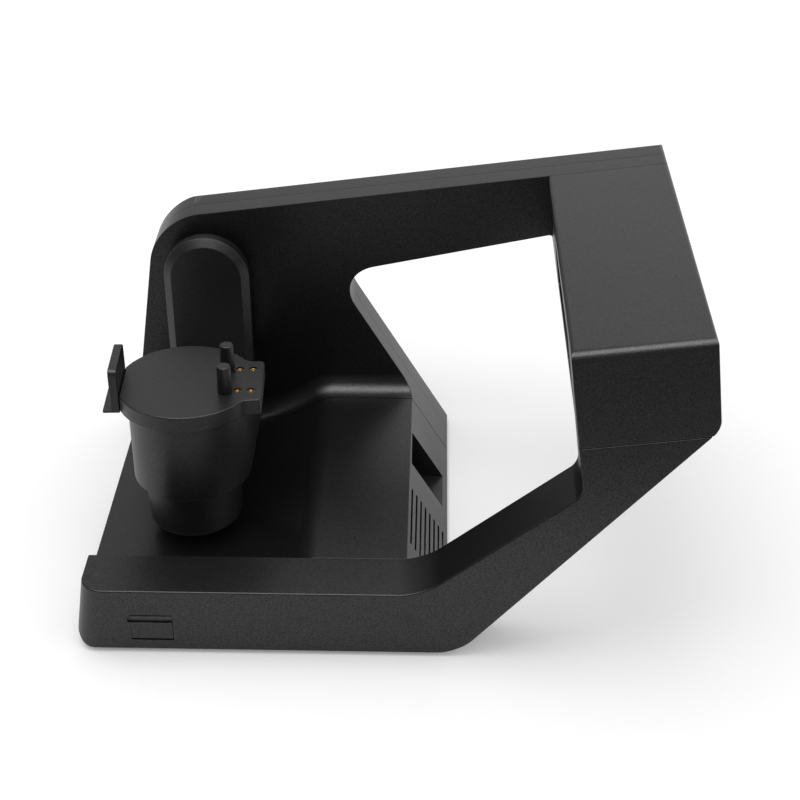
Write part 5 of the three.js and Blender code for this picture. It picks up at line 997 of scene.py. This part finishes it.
def screw(at, direction, length, head_height=1.6):
    """A screw whose head faces along the direction; at is the seat of its head."""
    bm = bmesh.new()
    hexagon = bmesh.ops.create_circle(bm, segments=6, radius=SOCKET_R)["verts"]
    rim = bmesh.ops.create_circle(bm, segments=24, radius=SCREW_HEAD_R - RIM)["verts"]
    bmesh.ops.bridge_loops(bm, edges=bm.edges[:])
    inner = [e for e in bm.edges if all(v in hexagon for v in e.verts)]
    down = bmesh.ops.extrude_edge_only(bm, edges=inner)["geom"]
    low = [g for g in down if isinstance(g, bmesh.types.BMVert)]
    bmesh.ops.translate(bm, verts=low, vec=(0, 0, -SOCKET_DEPTH))
    bmesh.ops.contextual_create(bm, geom=[g for g in down if isinstance(g, bmesh.types.BMEdge)])
    outer = [e for e in bm.edges if all(v in rim for v in e.verts)]
    for grow, drop in ((RIM, RIM), (0, head_height - RIM), (SHANK_R - SCREW_HEAD_R, 0), (0, length)):
        made = bmesh.ops.extrude_edge_only(bm, edges=outer)["geom"]
        outer = [g for g in made if isinstance(g, bmesh.types.BMEdge)]
        ring = [g for g in made if isinstance(g, bmesh.types.BMVert)]
        r = max(v.co.xy.length for v in ring)
        bmesh.ops.scale(bm, vec=((r + grow) / r, (r + grow) / r, 1), verts=ring)
        bmesh.ops.translate(bm, vec=(0, 0, -drop), verts=ring)
    bmesh.ops.contextual_create(bm, geom=outer)
    bmesh.ops.translate(bm, vec=(0, 0, head_height), verts=bm.verts[:])
    bmesh.ops.recalc_face_normals(bm, faces=bm.faces[:])
    turn = Vector((0, 0, 1)).rotation_difference(Vector(direction)).to_matrix()
    bmesh.ops.rotate(bm, matrix=turn, verts=bm.verts[:])
    bmesh.ops.translate(bm, vec=at, verts=bm.verts[:])
    return bm


for i, (x, z) in enumerate(rear_screws):
    settle(screw((x, SEAT_Y + WALL, z), (0, 1, 0), length=8), f"rear_screw_{i + 1}", "base", "steel")
for i, (x, y) in enumerate(lid_screws):
    settle(screw((x, y, head_floor), (0, 0, -1), length=7), f"lid_screw_{i + 1}", "base", "steel", (), HEAD)
for i, (x, y) in enumerate(block_spots):
    settle(screw((x, y, 0.4), (0, 0, -1), length=9, head_height=1.4), f"plate_screw_{i + 1}", "base", "steel")

# %% [markdown]
# ## Floor and light
# The scanner stands on a white studio floor in even light. A black gloss shows whatever stands opposite
# it, so the world has its own tones for glossy rays: a darker room in front and to the left, nearly
# white behind, and a softbox overhead that ends over the wall. It is white for the camera and through
# glass, and dimmer as a light, so that the scanner's shadow under a soft lamp overhead shows on the
# floor. The floor gets a little light of its own for the camera.

# %% World
world = bpy.data.worlds.new("studio")
bpy.context.scene.world = world
world.use_nodes = True
tree = world.node_tree
tree.nodes.clear()
DOME, SOFTBOX = 0.8, 3.8
NUMBER_A, NUMBER_B = 2, 3  # the Mix node's sockets for numbers
path = put(tree, "LightPath")
heading = put(tree, "SeparateXYZ", {0: put(tree, "TexCoord").outputs["Generated"]})
front_tone = put(tree, "MapRange", {
    "Value": heading.outputs["Y"], "From Min": -0.7, "From Max": 0.1, "To Min": 0.3, "To Max": 0.88,
})
left_tone = put(tree, "MapRange", {
    "Value": heading.outputs["X"], "From Min": -0.6, "From Max": 0.1, "To Min": 0.4, "To Max": 1.0,
})
softbox = put(tree, "MapRange", {
    "Value": heading.outputs["Z"], "From Min": 0.76, "From Max": 0.86, "To Min": 0.0, "To Max": SOFTBOX,
})
softbox_end = put(tree, "MapRange", {
    "Value": heading.outputs["Y"], "From Min": -0.05, "From Max": 0.25, "To Min": 1.0, "To Max": 0.0,
})
softbox = put(tree, "Math", {0: softbox.outputs[0], 1: softbox_end.outputs[0]}, operation="MULTIPLY")
room_tone = put(tree, "Math", {
    0: front_tone.outputs[0], 1: left_tone.outputs[0], 2: softbox.outputs[0],
}, operation="MULTIPLY_ADD")
seen = put(tree, "Math", {
    0: path.outputs["Is Camera Ray"], 1: path.outputs["Is Transmission Ray"],
}, operation="MAXIMUM")
plain_tone = put(tree, "MapRange", {"Value": seen.outputs[0], "To Min": DOME, "To Max": 1.0})
tone = put(tree, "Mix", {
    "Factor": path.outputs["Is Glossy Ray"], NUMBER_A: plain_tone.outputs[0], NUMBER_B: room_tone.outputs[0],
}, data_type="FLOAT")
sky = put(tree, "Background", {"Color": (1, 1, 1, 1), "Strength": tone.outputs[0]})
put(tree, "OutputWorld", {"Surface": sky.outputs[0]})
print("world:", len(tree.nodes), "nodes")

# %% White floor
FLOOR_HALF, SHEET_FRONT, CAMERA_LIFT = 3.0, -0.34, 0.13
floor_finish, tree, place = new_finish("white studio floor")
path = put(tree, "LightPath")
paper = put(tree, "TexNoise", {"Vector": place, "Scale": every(3.0)})
tone = put(tree, "Mix", {
    "Factor": paper.outputs[0], COLOUR_A: (0.93, 0.93, 0.93, 1), COLOUR_B: (0.95, 0.95, 0.95, 1),
}, data_type="RGBA")
matt = put(tree, "BsdfDiffuse", {"Color": tone.outputs[COLOUR_OUT]})
lift = put(tree, "Math", {
    0: path.outputs["Is Camera Ray"], 1: CAMERA_LIFT,
}, operation="MULTIPLY")
glow = put(tree, "Emission", {"Color": (1, 1, 1, 1), "Strength": lift.outputs[0]})
close_finish(tree, put(tree, "AddShader", {0: matt.outputs[0], 1: glow.outputs[0]}))
bm = bmesh.new()
bmesh.ops.create_grid(bm, x_segments=1, y_segments=1, size=FLOOR_HALF)
bmesh.ops.translate(bm, vec=(0, FLOOR_HALF + SHEET_FRONT, 0), verts=bm.verts[:])
floor = as_object(bm, "floor")
floor.data.materials.append(floor_finish)
print("floor:", [round(size, 2) for size in floor.dimensions], "metres")

# %% Soft lamp
def soft_lamp(name, position, aim, size, watts):
    data = bpy.data.lights.new(name, "AREA")
    data.size = size
    data.energy = watts
    lamp = bpy.data.objects.new(name, data)
    lamp.location = position
    lamp.rotation_mode = "QUATERNION"
    lamp.rotation_quaternion = (Vector(aim) - Vector(position)).to_track_quat("-Z", "Y")
    bpy.context.scene.collection.objects.link(lamp)
    return lamp


overhead = soft_lamp("overhead lamp", (-0.3, -0.1, 2.5), aim=(0, 0, 0.1), size=1.8, watts=18)
print(overhead.name, "at", list(overhead.location))

# %% [markdown]
# ## Camera
# The camera stands a metre in front and three quarters of a metre up, a little to the right of the
# middle, and looks down by about 32 degrees. Its place and its lens of 72 mm come from fitting the
# photograph's straight edges, corners and circles.

# %% Camera
TILT_DOWN, YAW, ROLL, LENS, SENSOR = 32.055, 1.370, -0.032, 72.29, 36
EYE_MM = (31.403, -1005.1, 743.8)
pitch, yaw, roll = math.radians(TILT_DOWN), math.radians(YAW), math.radians(ROLL)
ahead = Vector((-math.sin(yaw) * math.cos(pitch), math.cos(yaw) * math.cos(pitch), -math.sin(pitch)))
level_right = Vector((math.cos(yaw), math.sin(yaw), 0))
level_up = level_right.cross(ahead)
right = math.cos(roll) * level_right + math.sin(roll) * level_up
up = math.cos(roll) * level_up - math.sin(roll) * level_right
pose = Matrix((right, up, -ahead)).transposed().to_4x4()
pose.translation = Vector(EYE_MM) * MM
camera_data = bpy.data.cameras.new("camera")
camera_data.lens, camera_data.sensor_width = LENS, SENSOR
camera = bpy.data.objects.new("camera", camera_data)
bpy.context.scene.collection.objects.link(camera)
camera.matrix_world = pose
bpy.context.scene.camera = camera
bpy.context.scene.view_settings.view_transform = "Standard"
print("camera at", [round(c, 3) for c in pose.translation])
